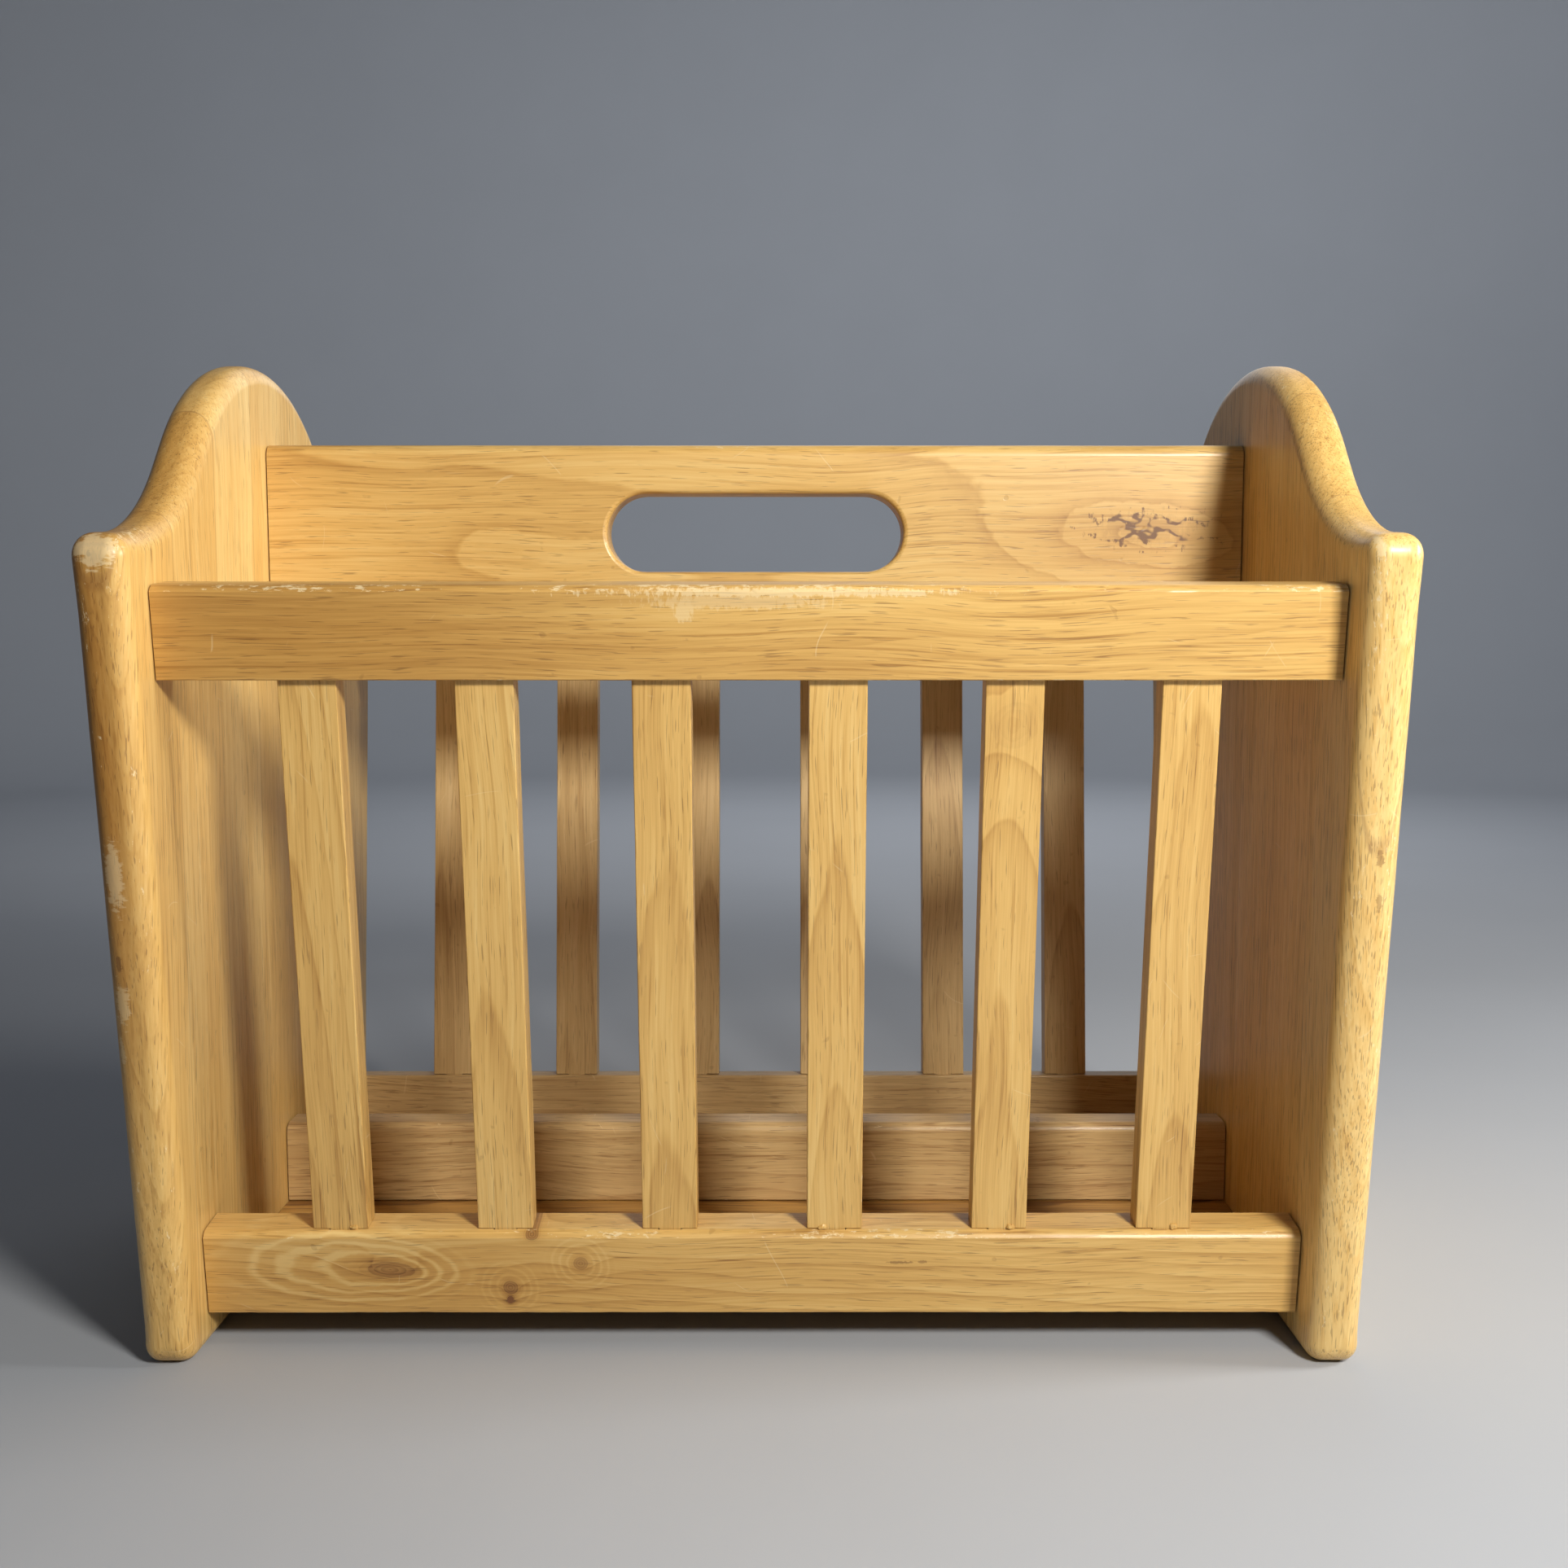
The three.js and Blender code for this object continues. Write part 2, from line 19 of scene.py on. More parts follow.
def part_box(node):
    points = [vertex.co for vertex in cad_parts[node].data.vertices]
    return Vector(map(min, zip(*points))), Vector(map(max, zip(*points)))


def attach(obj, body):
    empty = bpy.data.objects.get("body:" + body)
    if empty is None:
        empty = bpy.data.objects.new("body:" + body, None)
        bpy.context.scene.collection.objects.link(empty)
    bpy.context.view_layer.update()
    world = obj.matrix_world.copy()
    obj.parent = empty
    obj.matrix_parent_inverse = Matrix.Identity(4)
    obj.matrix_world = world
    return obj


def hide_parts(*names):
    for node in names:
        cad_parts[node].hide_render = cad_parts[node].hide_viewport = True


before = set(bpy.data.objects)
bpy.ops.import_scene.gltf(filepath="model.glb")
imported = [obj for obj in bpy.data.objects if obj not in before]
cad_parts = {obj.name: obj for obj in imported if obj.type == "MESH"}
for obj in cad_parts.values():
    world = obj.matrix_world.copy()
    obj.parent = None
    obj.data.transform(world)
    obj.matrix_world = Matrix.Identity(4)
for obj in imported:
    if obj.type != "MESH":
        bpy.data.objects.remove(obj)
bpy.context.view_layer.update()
LOG = logging.getLogger("magazine_rack")
MM = 0.001
LEAN = math.radians(6.6)
FIT_GAP = 0.3 * MM
END_SEAM = 0.25 * MM
BORE_ROOM = 1.0 * MM
SWAYS_PER_METRE = 22.0
NICKS_PER_METRE = 260.0
NICK_BAR = 0.25
SEED_SPREAD = (3.1, 1.7, 0.9)
CRISP_CORNER = math.radians(28)
LARGE_FACE_WEIGHT = 60
MIX_INPUTS = (0, 6, 7)
MIX_OUTPUT = 2
QUARTER = math.pi / 2
BODY = "root"

Point = tuple[float, float]
Section = list[tuple[Point, float]]
Colour = tuple[float, float, float, float]
Socket = bpy.types.NodeSocket
Value = Socket | float | Sequence[float]


class Side(Enum):
    """The two leaning sides of the rack."""

    FRONT = "front"
    BACK = "back"


class End(Enum):
    """The two ends of the rack."""

    LEFT = "left"
    RIGHT = "right"

    @property
    def sign(self) -> int:
        """Which way along X this end lies."""
        return -1 if self is End.LEFT else 1


class Level(Enum):
    """The two rails of a side."""

    TOP = "top"
    BOTTOM = "bottom"


class Work(Enum):
    """What a closed shape does to a piece."""

    CUT = "DIFFERENCE"
    JOIN = "UNION"


class MarkKind(Enum):
    """What a local mark on the timber is."""

    BARE = "lacquer worn through"
    STAIN = "darker stain"
    TRACK = "fine dark winding lines"
    # Soft darkening with the finish's darkening tint. It is painted shade on the left end panel and on
    # the left end of the front top rail, and a darker wood tone around the handle board's winding
    # track.
    TONE_AND_PAINTED_SHADE = "slow change of tone"


class Waves(Enum):
    """Noise by name: waves in a metre along X, Y and Z, finer layers, strength of those layers."""

    SLOW_BEND = (7.0, 22.0, 22.0, 2.0, 0.5)
    BRISK_BEND = (30.0, 90.0, 90.0, 2.0, 0.5)
    CLOUD = (9.0, 45.0, 45.0, 3.0, 0.55)
    FIBRE_SWAY = (9.0, 12.0, 12.0, 1.0, 0.5)
    FINE_FIBRE = (24.0, 1300.0, 1300.0, 2.0, 0.65)
    BROAD_FIBRE = (9.0, 360.0, 360.0, 3.0, 0.6)
    PORE_FLOCKS = (12.0, 60.0, 60.0, 2.0, 0.5)
    PORES = (80.0, 2000.0, 2000.0, 1.0, 0.4)
    STREAKS = (16.0, 900.0, 900.0, 1.0, 0.4)
    KNOT_EDGE = (160.0, 160.0, 160.0, 2.0, 0.5)
    KNOT_EYE = (45.0, 80.0, 80.0, 2.0, 0.5)
    RAGGED_EDGE = (620.0, 260.0, 260.0, 3.0, 0.65)
    CHIPS = (240.0, 700.0, 700.0, 3.0, 0.7)
    RUBBED_REGIONS = (14.0, 40.0, 40.0, 2.0, 0.5)
    SCRATCH_BOW = (18.0, 18.0, 18.0, 1.0, 0.5)
    SCRATCH_BREAKS = (45.0, 90.0, 90.0, 1.0, 0.5)
    DENTS = (210.0, 210.0, 210.0, 1.0, 0.4)
    TRACK = (80.0, 150.0, 20.0, 2.0, 0.5)
    TRACK_BREAKS = (210.0, 210.0, 40.0, 1.0, 0.5)
    TARNISH = (900.0, 900.0, 900.0, 3.0, 0.6)
    FLOOR_CLOUD = (5.0, 5.0, 5.0, 3.0, 0.5)


# ---- how shader trees are drawn ---------------------------------------------------------------
class Sketch:
    """A node tree with short calls for the nodes that the finishes use."""

    def __init__(self, tree: bpy.types.NodeTree) -> None:
        """Starts a sketch in a node tree."""
        self.tree = tree

    def put(self, kind: str, *values: Value, **settings: object) -> bpy.types.Node:
        """Adds a node.

        Args:
            kind: Its type, without the ShaderNode prefix.
            *values: What feeds its inputs, in order.
            **settings: Values for the node's own properties.

        Returns:
            The new node.
        """
        node = self.tree.nodes.new("ShaderNode" + kind)
        for name, value in settings.items():
            setattr(node, name, value)
        for socket, value in zip(node.inputs, values):
            self.feed(socket, value)
        return node

    def feed(self, socket: Socket, value: Value) -> None:
        """Links a socket to another one, or sets its own value.

        Args:
            socket: The input.
            value: The output that feeds it, or a constant.
        """
        if isinstance(value, Socket):
            self.tree.links.new(value, socket)
        else:
            socket.default_value = value

    def math(self, operation: str, *values: Value, clamp: bool = False) -> Socket:
        """Does arithmetic on single values, given in order."""
        return self.put("Math", *values, operation=operation, use_clamp=clamp).outputs[0]

    def times(self, first: Value, second: Value) -> Socket:
        """Multiplies two values."""
        return self.math("MULTIPLY", first, second)

    def about_zero(self, value: Value, reach: float = 1.0) -> Socket:
        """Turns a value around a half into one around zero that spans this reach."""
        return self.math("MULTIPLY_ADD", value, reach, -reach / 2)

    def total(self, *values: Value) -> Socket:
        """Adds up several values.

        Args:
            *values: The values.

        Returns:
            Their sum.
        """
        result = values[0]
        for value in values[1:]:
            result = self.math("ADD", result, value)
        return result

    def vector(self, operation: str, *values: Value) -> Socket:
        """Does arithmetic on vectors, given in order, where a length is a single value."""
        node = self.put("VectorMath", *values, operation=operation)
        return node.outputs["Value" if operation == "LENGTH" else "Vector"]

    def parts(self, vector: Value) -> tuple[Socket, ...]:
        """Splits a vector into its three values."""
        return tuple(self.put("SeparateXYZ", vector).outputs)

    def turned(self, vector: Value, angle: Value) -> Socket:
        """Turns a vector about Z.

        Args:
            vector: The vector.
            angle: The angle, in radians.

        Returns:
            The turned vector.
        """
        node = self.put("VectorRotate", rotation_type="Z_AXIS")
        self.feed(node.inputs["Vector"], vector)
        self.feed(node.inputs["Angle"], angle)
        return node.outputs[0]

    def noise(self, vector: Value, waves: Waves) -> Socket:
        """Lays noise over a vector that is first stretched.

        Args:
            vector: Where the noise is read.
            waves: Which noise.

        Returns:
            A value around a half.
        """
        *scale, detail, rough = waves.value
        node = self.put("TexNoise", self.vector("MULTIPLY", vector, scale))
        for name, value in (("Scale", 1.0), ("Detail", detail), ("Roughness", rough)):
            node.inputs[name].default_value = value
        return node.outputs["Fac"]

    def swing(self, vector: Value, waves: Waves) -> Socket:
        """Lays noise that swings about zero."""
        return self.math("SUBTRACT", self.noise(vector, waves), 0.5)

    def lottery(self, number: Value) -> bpy.types.NodeOutputs:
        """Draws a fixed value and colour for a whole number.

        Args:
            number: The whole number.

        Returns:
            The node's Value and Color.
        """
        node = self.put("TexWhiteNoise", noise_dimensions="1D")
        self.feed(node.inputs["W"], number)
        return node.outputs

    def rise(self, value: Value, low: float, high: float, start: float = 0.0) -> Socket:
        """Turns a stretch of values into a soft step.

        Args:
            value: The value to read.
            low: Where the step begins.
            high: Where it ends.
            start: Result below the step, 0 or 1, and it is the other one above.

        Returns:
            The stepped value.
        """
        ends = (low, high, start, 1.0 - start)
        return self.put("MapRange", value, *ends, interpolation_type="SMOOTHSTEP").outputs["Result"]

    def fall(self, value: Value, low: float, high: float) -> Socket:
        """Turns a stretch of values into a soft step down from 1 to 0."""
        return self.rise(value, low, high, 1.0)

    def mix(self, factor: Value, first: Value, second: Value, blend: str = "MIX") -> Socket:
        """Mixes two colours.

        Args:
            factor: Share of the second colour.
            first: The colour underneath.
            second: The colour on top.
            blend: How they mix.

        Returns:
            The mixed colour.
        """
        node = self.put("Mix", data_type="RGBA", blend_type=blend, clamp_factor=True)
        for index, given in zip(MIX_INPUTS, (factor, first, second)):
            self.feed(node.inputs[index], given)
        return node.outputs[MIX_OUTPUT]

    def use(self, group: bpy.types.NodeTree, **values: Value) -> bpy.types.NodeOutputs:
        """Places a node group.

        Args:
            group: The group.
            **values: What feeds its inputs, with underscores for spaces.

        Returns:
            What the group gives.
        """
        node = self.put("Group", node_tree=group)
        for name, value in values.items():
            self.feed(node.inputs[name.replace("_", " ")], value)
        return node.outputs


def start_group(
    name: str, takes: dict[str, str], gives: Sequence[str]
) -> tuple[Sketch, dict[str, Socket], Callable[[str, Value], None]]:
    """Opens a new shader node group.

    Args:
        name: Name of the group.
        takes: Its inputs, each with Float or Vector.
        gives: Its outputs, single values but for one named Vector.

    Returns:
        The sketch to draw in, its inputs by name, and a call that feeds an output.
    """
    tree = bpy.data.node_groups.new(name, "ShaderNodeTree")
    results = {label: "Vector" if label == "Vector" else "Float" for label in gives}
    for in_out, sockets in (("INPUT", takes), ("OUTPUT", results)):
        for label, kind in sockets.items():
            tree.interface.new_socket(name=label, in_out=in_out, socket_type="NodeSocket" + kind)
    sketch = Sketch(tree)
    entry = tree.nodes.new("NodeGroupInput")
    leave = tree.nodes.new("NodeGroupOutput")

    def give(label: str, value: Value) -> None:
        """Feeds an output of the group."""
        sketch.feed(leave.inputs[label], value)

    return sketch, {label: entry.outputs[label] for label in takes}, give


def new_material(name: str) -> tuple[bpy.types.Material, Sketch, bpy.types.NodeInputs]:
    """Starts a material.

    Args:
        name: Its name.

    Returns:
        The material, the sketch to draw in, and the inputs of its shader.
    """
    material = bpy.data.materials.new(name)
    material.use_nodes = True
    tree = material.node_tree
    return material, Sketch(tree), tree.nodes["Principled BSDF"].inputs


# ---- effects that several finishes share --------------------------------------------------------
class WoodEffects:
    """The shared node groups of the wood, each built once."""

    STRIP_SHIFT = (0.8, 0.0, 0.05)
    HALF = (0.5, 0.5, 0.5)
    ACROSS_GRAIN = (0.0, 1.0, 1.0)
    ON_THE_FACE = (1, 1, 0)
    PORE_BAR = 0.765
    RUBBED_BAR = 1.02
    SCRATCH_SETS = ((0.5, 60.0, 0.0), (-0.9, 47.0, 3.1), (1.3, 52.0, 7.7))

    def __init__(self) -> None:
        """Builds every group."""
        self.strips = self.glued_strips()
        self.figure = self.growth_figure()
        self.fibre = self.fibre_and_pores()
        self.knot = self.single_knot()
        self.patch = self.ragged_patch()
        self.handling = self.handling_wear()
        self.track = self.winding_track()

    def glued_strips(self) -> bpy.types.NodeTree:
        """Splits a wide panel into glued strips with a tone and a figure of their own.

        Returns:
            The group.
        """
        takes = {"Vector": "Vector", "Seed": "Float", "Width": "Float"}
        s, given, give = start_group("glued strips", takes, ("Vector", "Tone", "Seam"))
        across = s.parts(given["Vector"])[1]
        place = s.math("ADD", s.math("DIVIDE", across, given["Width"]), given["Seed"])
        inside = s.math("FRACT", place)
        drawn = s.lottery(s.math("FLOOR", place))
        shift = s.vector("SUBTRACT", drawn["Color"], self.HALF)
        edge = s.math("MINIMUM", inside, s.math("SUBTRACT", 1.0, inside))
        give("Vector", s.vector("MULTIPLY_ADD", shift, self.STRIP_SHIFT, given["Vector"]))
        give("Tone", s.math("SUBTRACT", drawn["Value"], 0.5))
        give("Seam", s.fall(s.times(edge, given["Width"]), 0.1 * MM, 0.5 * MM))
        return s.tree

    def growth_figure(self) -> bpy.types.NodeTree:
        """Draws growth rings around a heart line that runs near the piece.

        Each ring swells slowly, darkens towards its edge and ends sharply, as late wood does.

        Returns:
            The group.
        """
        takes = {"Vector": "Vector", "Seed": "Vector", "Heart": "Vector", "Ring": "Float"}
        takes |= {"Drift": "Float", "Swirl": "Float", "Lift": "Float"}
        s, given, give = start_group("growth figure", takes, ("Rings", "Cloud"))
        seeded = s.vector("ADD", given["Vector"], given["Seed"])
        away = s.vector("SUBTRACT", given["Vector"], given["Heart"])
        radius = s.vector("LENGTH", s.vector("MULTIPLY", away, self.ACROSS_GRAIN))
        along = s.times(s.parts(given["Vector"])[0], given["Drift"])
        bend = s.times(s.swing(seeded, Waves.SLOW_BEND), given["Swirl"])
        ripple = s.times(s.swing(seeded, Waves.BRISK_BEND), s.times(given["Swirl"], 0.12))
        reach = s.total(radius, along, bend, ripple)
        turns = s.math("ADD", s.math("DIVIDE", reach, given["Ring"]), given["Lift"])
        across = s.math("FRACT", turns)
        swell = s.times(s.math("POWER", across, 1.6), 0.4)
        crest = s.math("MULTIPLY_ADD", s.math("POWER", across, 8.0), 0.75, swell)
        late = s.times(crest, s.fall(across, 0.93, 1.0))
        drawn = s.lottery(s.math("FLOOR", turns))
        give("Rings", s.times(late, s.math("MULTIPLY_ADD", drawn["Value"], 0.7, 0.45)))
        give("Cloud", s.noise(seeded, Waves.CLOUD))
        return s.tree

    def fibre_and_pores(self) -> bpy.types.NodeTree:
        """Draws the fine fibre and the short dark pores that run with it.

        Returns:
            The group.
        """
        takes = {"Vector": "Vector", "Seed": "Vector", "Density": "Float"}
        s, given, give = start_group("fibre and pores", takes, ("Fibre", "Pores", "Streaks"))
        seeded = s.vector("ADD", given["Vector"], given["Seed"])
        sway = s.times(s.swing(seeded, Waves.FIBRE_SWAY), 12.0 * MM)
        run = s.vector("ADD", seeded, s.put("CombineXYZ", 0.0, sway, 0.0).outputs[0])
        broad = s.times(s.noise(run, Waves.BROAD_FIBRE), 0.45)
        give("Fibre", s.math("MULTIPLY_ADD", s.noise(run, Waves.FINE_FIBRE), 0.55, broad))
        flock = s.noise(seeded, Waves.PORE_FLOCKS)
        bar = s.math("SUBTRACT", self.PORE_BAR, s.times(flock, 0.16))
        bar = s.math("SUBTRACT", bar, s.times(given["Density"], 0.055))
        give("Pores", s.rise(s.math("SUBTRACT", s.noise(run, Waves.PORES), bar), 0.0, 0.08))
        streak = s.math("MULTIPLY_ADD", flock, 0.15, s.noise(run, Waves.STREAKS))
        give("Streaks", s.rise(streak, 0.66, 0.8))
        return s.tree

    def single_knot(self) -> bpy.types.NodeTree:
        """Draws one knot and bends the rings around it.

        Distances are counted in half sizes of the knot.

        Returns:
            The group.
        """
        takes = {"Vector": "Vector", "Centre": "Vector", "Half size": "Vector", "Turn": "Float"}
        takes |= {"Skew": "Float"}
        gives = ("Lift", "Core", "Halo", "Whorl", "Eye")
        s, given, give = start_group("single knot", takes, gives)
        away = s.turned(s.vector("SUBTRACT", given["Vector"], given["Centre"]), given["Turn"])
        flat = s.vector("MULTIPLY", s.vector("DIVIDE", away, given["Half size"]), self.ON_THE_FACE)
        edge = s.swing(given["Vector"], Waves.KNOT_EDGE)
        distance = s.math("MULTIPLY_ADD", edge, 0.35, s.vector("LENGTH", flat))
        give("Lift", s.math("EXPONENT", s.times(distance, -0.42)))
        give("Core", s.fall(distance, 0.72, 1.12))
        give("Halo", s.fall(distance, 0.9, 3.0))
        ripples = s.rise(s.math("FRACT", s.times(distance, 3.3)), 0.2, 1.0)
        give("Whorl", s.times(ripples, s.fall(distance, 0.9, 1.5)))
        lean = s.times(s.parts(flat)[0], given["Skew"])
        roll = s.times(s.swing(given["Vector"], Waves.KNOT_EYE), 0.9)
        off = s.total(distance, lean, roll)
        turns = s.times(s.math("POWER", s.math("MAXIMUM", off, 0.0), 0.85), 1.55)
        middle = s.math("ABSOLUTE", s.math("SUBTRACT", s.math("FRACT", turns), 0.5))
        near = s.times(s.rise(off, 1.0, 1.5), s.fall(off, 2.8, 5.0))
        give("Eye", s.times(s.fall(middle, 0.0, 0.34), near))
        return s.tree

    def ragged_patch(self) -> bpy.types.NodeTree:
        """Marks an oval patch, once with a ragged outline and once with a soft one.

        Returns:
            The group.
        """
        takes = {"Vector": "Vector", "Centre": "Vector", "Half size": "Vector"}
        s, given, give = start_group("ragged patch", takes, ("Mask", "Soft"))
        away = s.vector("SUBTRACT", given["Vector"], given["Centre"])
        distance = s.vector("LENGTH", s.vector("DIVIDE", away, given["Half size"]))
        rag = s.swing(given["Vector"], Waves.RAGGED_EDGE)
        give("Mask", s.fall(s.math("MULTIPLY_ADD", rag, 2.3, distance), 0.62, 0.98))
        give("Soft", s.fall(distance, 0.1, 1.3))
        return s.tree

    def handling_wear(self) -> bpy.types.NodeTree:
        """Marks rubbed arrises, fine scratches and small dents.

        Returns:
            The group.
        """
        takes = {"Vector": "Vector", "Seed": "Vector", "Arris": "Float", "Amount": "Float"}
        s, given, give = start_group("handling wear", takes, ("Rubbed", "Scratches", "Dents"))
        seeded = s.vector("ADD", given["Vector"], given["Seed"])
        region = s.times(s.noise(seeded, Waves.RUBBED_REGIONS), 0.5)
        chips = s.math("MULTIPLY_ADD", s.noise(seeded, Waves.CHIPS), 0.75, region)
        bar = s.math("SUBTRACT", self.RUBBED_BAR, s.times(given["Arris"], given["Amount"]))
        give("Rubbed", s.rise(s.math("SUBTRACT", chips, bar), 0.0, 0.06))
        scratches: Value = 0.0
        for angle, per_metre, shift in self.SCRATCH_SETS:
            run = s.turned(s.vector("ADD", seeded, (shift, shift, 0.0)), angle)
            across = s.times(s.parts(run)[1], per_metre)
            bow = s.noise(run, Waves.SCRATCH_BOW)
            line = s.math("FRACT", s.math("MULTIPLY_ADD", bow, 2.4, across))
            thin = s.fall(s.math("ABSOLUTE", s.math("SUBTRACT", line, 0.5)), 0.004, 0.013)
            kept = s.rise(s.noise(run, Waves.SCRATCH_BREAKS), 0.665, 0.72)
            scratches = s.math("MAXIMUM", scratches, s.times(thin, kept))
        give("Scratches", scratches)
        give("Dents", s.rise(s.noise(seeded, Waves.DENTS), 0.75, 0.82))
        return s.tree

    def winding_track(self) -> bpy.types.NodeTree:
        """Draws thin winding lines, such as an insect leaves in sapwood.

        Returns:
            The group.
        """
        s, given, give = start_group("winding track", {"Vector": "Vector"}, ("Track",))
        off = s.math("ABSOLUTE", s.swing(given["Vector"], Waves.TRACK))
        breaks = s.rise(s.noise(given["Vector"], Waves.TRACK_BREAKS), 0.34, 0.46)
        give("Track", s.times(s.fall(off, 0.028, 0.065), breaks))
        return s.tree


# ---- finishes ---------------------------------------------------------------------------------
@dataclass(frozen=True)
class Knot:
    """One knot, placed in its piece's own frame, in millimetres."""

    x: float
    y: float
    half_length: float
    half_width: float
    turn: float = 0.0
    dark: float = 0.55
    pull: float = 1.5
    eye: float = 0.0
    skew: float = 0.0


@dataclass(frozen=True)
class Mark:
    """One local mark, placed in its piece's own frame, in millimetres."""

    kind: MarkKind
    x: float
    y: float
    z: float
    half_size: tuple[float, float, float]
    strength: float = 1.0


@dataclass(frozen=True)
class PieceLook:
    """What is particular to one piece of timber."""

    seed: float
    tone: float = 0.0
    heart: tuple[float, float] = (-30.0, -25.0)
    ring: float = 5.0
    drift: float = 0.0
    swirl: float = 9.0
    figure: float = 1.0
    density: float = 1.0
    wear: float = 0.3
    strip: float = 0.0
    knots: tuple[Knot, ...] = ()
    marks: tuple[Mark, ...] = ()


@dataclass(frozen=True)
class TimberFinish:
    """Clear satin lacquer over light hardwood, whose tone goes from pale to brown as it deepens."""

    pale: Colour = (0.87, 0.63, 0.26, 1.0)
    honey: Colour = (0.73, 0.455, 0.142, 1.0)
    amber: Colour = (0.52, 0.285, 0.074, 1.0)
    brown: Colour = (0.2, 0.088, 0.026, 1.0)
    bare: Colour = (0.84, 0.68, 0.4, 1.0)
    # Tint multiplied in by the soft darkening marks. It paints shade on some pieces and gives a darker
    # wood tone on others.
    tone_and_shade_tint: Colour = (0.74, 0.62, 0.45, 1.0)
    pore: Colour = (0.17, 0.075, 0.025, 1.0)
    knot: Colour = (0.3, 0.13, 0.04, 1.0)
    knot_ring: Colour = (0.13, 0.045, 0.016, 1.0)
    glue: Colour = (0.3, 0.14, 0.05, 1.0)
    honey_at: float = 0.38
    amber_at: float = 0.72
    base_depth: float = 0.36
    strip_depth: float = 0.2
    ring_depth: float = 0.3
    cloud_depth: float = 0.42
    fibre_depth: float = 0.95
    streak_depth: float = 0.2
    end_grain_depth: float = 0.13
    halo_depth: float = 0.22
    whorl_depth: float = 0.3
    pore_share: float = 0.46
    glue_share: float = 0.35
    bare_share: float = 0.75
    scratch_share: float = 0.3
    dent_share: float = 0.22
    gloss_roughness: float = 0.42
    bare_roughness: float = 0.62
    cloud_roughness: float = 0.14
    coat: float = 0.18
    coat_roughness: float = 0.22
    bump_strength: float = 0.35
    bump_distance: float = 0.12 * MM

    def material(self, name: str, look: PieceLook, effects: WoodEffects) -> bpy.types.Material:
        """Makes the material of one piece.

        Args:
            name: Name of the material.
            look: What is particular to the piece.
            effects: The shared node groups.

        Returns:
            The material.
        """
        material, s, shader = new_material(name)
        shader["Coat Weight"].default_value = self.coat
        shader["Coat Roughness"].default_value = self.coat_roughness
        own = s.put("TexCoord").outputs["Object"]
        seed = Vector((1.37, 0.73, 0.41)) * look.seed
        run, tone, seam = own, look.tone, 0.0
        if look.strip:
            strips = s.use(effects.strips, Vector=own, Seed=look.seed, Width=look.strip * MM)
            run, seam = strips["Vector"], strips["Seam"]
            tone = s.math("MULTIPLY_ADD", strips["Tone"], self.strip_depth, look.tone)
        knots = [(knot, self.placed_knot(s, effects, own, knot)) for knot in look.knots]
        figure = s.use(
            effects.figure,
            Vector=run,
            Seed=seed,
            Heart=(0.0, look.heart[0] * MM, look.heart[1] * MM),
            Ring=look.ring * MM,
            Drift=look.drift,
            Swirl=look.swirl * MM,
            Lift=s.total(0.0, *(s.times(drawn["Lift"], knot.pull) for knot, drawn in knots)),
        )
        fibre = s.use(effects.fibre, Vector=run, Seed=seed, Density=look.density)
        arris = s.put("Attribute", attribute_name="arris").outputs["Fac"]
        wear = s.use(effects.handling, Vector=own, Seed=seed, Arris=arris, Amount=look.wear)
        colour = self.wood_colour(s, self.depth(s, look, tone, figure, fibre, knots))
        colour = s.mix(s.times(fibre["Pores"], self.pore_share), colour, self.pore)
        for knot, drawn in knots:
            shade = s.mix(drawn["Whorl"], self.knot, self.knot_ring)
            colour = s.mix(s.times(drawn["Core"], knot.dark), colour, shade)
        colour = s.mix(s.times(seam, self.glue_share), colour, self.glue)
        bare = wear["Rubbed"]
        for mark in look.marks:
            colour, bare = self.placed_mark(s, effects, own, mark, colour, bare)
        colour = s.mix(s.times(bare, self.bare_share), colour, self.bare)
        colour = s.mix(s.times(wear["Scratches"], self.scratch_share), colour, self.bare)
        colour = s.mix(s.times(wear["Dents"], self.dent_share), colour, self.brown)
        s.feed(shader["Base Color"], colour)
        s.feed(shader["Roughness"], self.roughness(s, figure["Cloud"], bare))
        s.feed(shader["Normal"], self.relief(s, fibre, wear, bare, seam))
        return material

    def depth(
        self,
        s: Sketch,
        look: PieceLook,
        tone: Value,
        figure: bpy.types.NodeOutputs,
        fibre: bpy.types.NodeOutputs,
        knots: Sequence[tuple[Knot, bpy.types.NodeOutputs]],
    ) -> Socket:
        """Adds up everything that deepens the tone of the wood.

        Args:
            s: The material's sketch.
            look: What is particular to the piece.
            tone: Tone of the piece or of its strip.
            figure: What the growth figure gives.
            fibre: What the fibre and pores give.
            knots: Each knot with what its group gives.

        Returns:
            The depth, from 0 for pale to 1 for brown.
        """
        end_on = s.math("ABSOLUTE", s.parts(s.put("TexCoord").outputs["Normal"])[0])
        depth = s.total(
            self.base_depth,
            tone,
            s.times(figure["Rings"], self.ring_depth * look.figure),
            s.about_zero(figure["Cloud"], self.cloud_depth),
            s.about_zero(fibre["Fibre"], self.fibre_depth),
            s.times(fibre["Streaks"], self.streak_depth),
            s.times(s.rise(end_on, 0.3, 0.95), self.end_grain_depth),
        )
        for knot, drawn in knots:
            depth = s.total(
                depth,
                s.times(drawn["Halo"], self.halo_depth * knot.dark),
                s.times(drawn["Whorl"], self.whorl_depth * knot.dark),
                s.times(drawn["Eye"], -knot.eye),
            )
        return depth

    def wood_colour(self, s: Sketch, depth: Value) -> Socket:
        """Turns a depth of tone into a wood colour.

        Args:
            s: The material's sketch.
            depth: The depth, from 0 to 1.

        Returns:
            The colour.
        """
        ramp = s.put("ValToRGB", depth)
        stops = ramp.color_ramp.elements
        stops[0].position, stops[0].color = 0.0, self.pale
        stops[1].position, stops[1].color = 1.0, self.brown
        for position, colour in ((self.honey_at, self.honey), (self.amber_at, self.amber)):
            stops.new(position).color = colour
        return ramp.outputs[0]

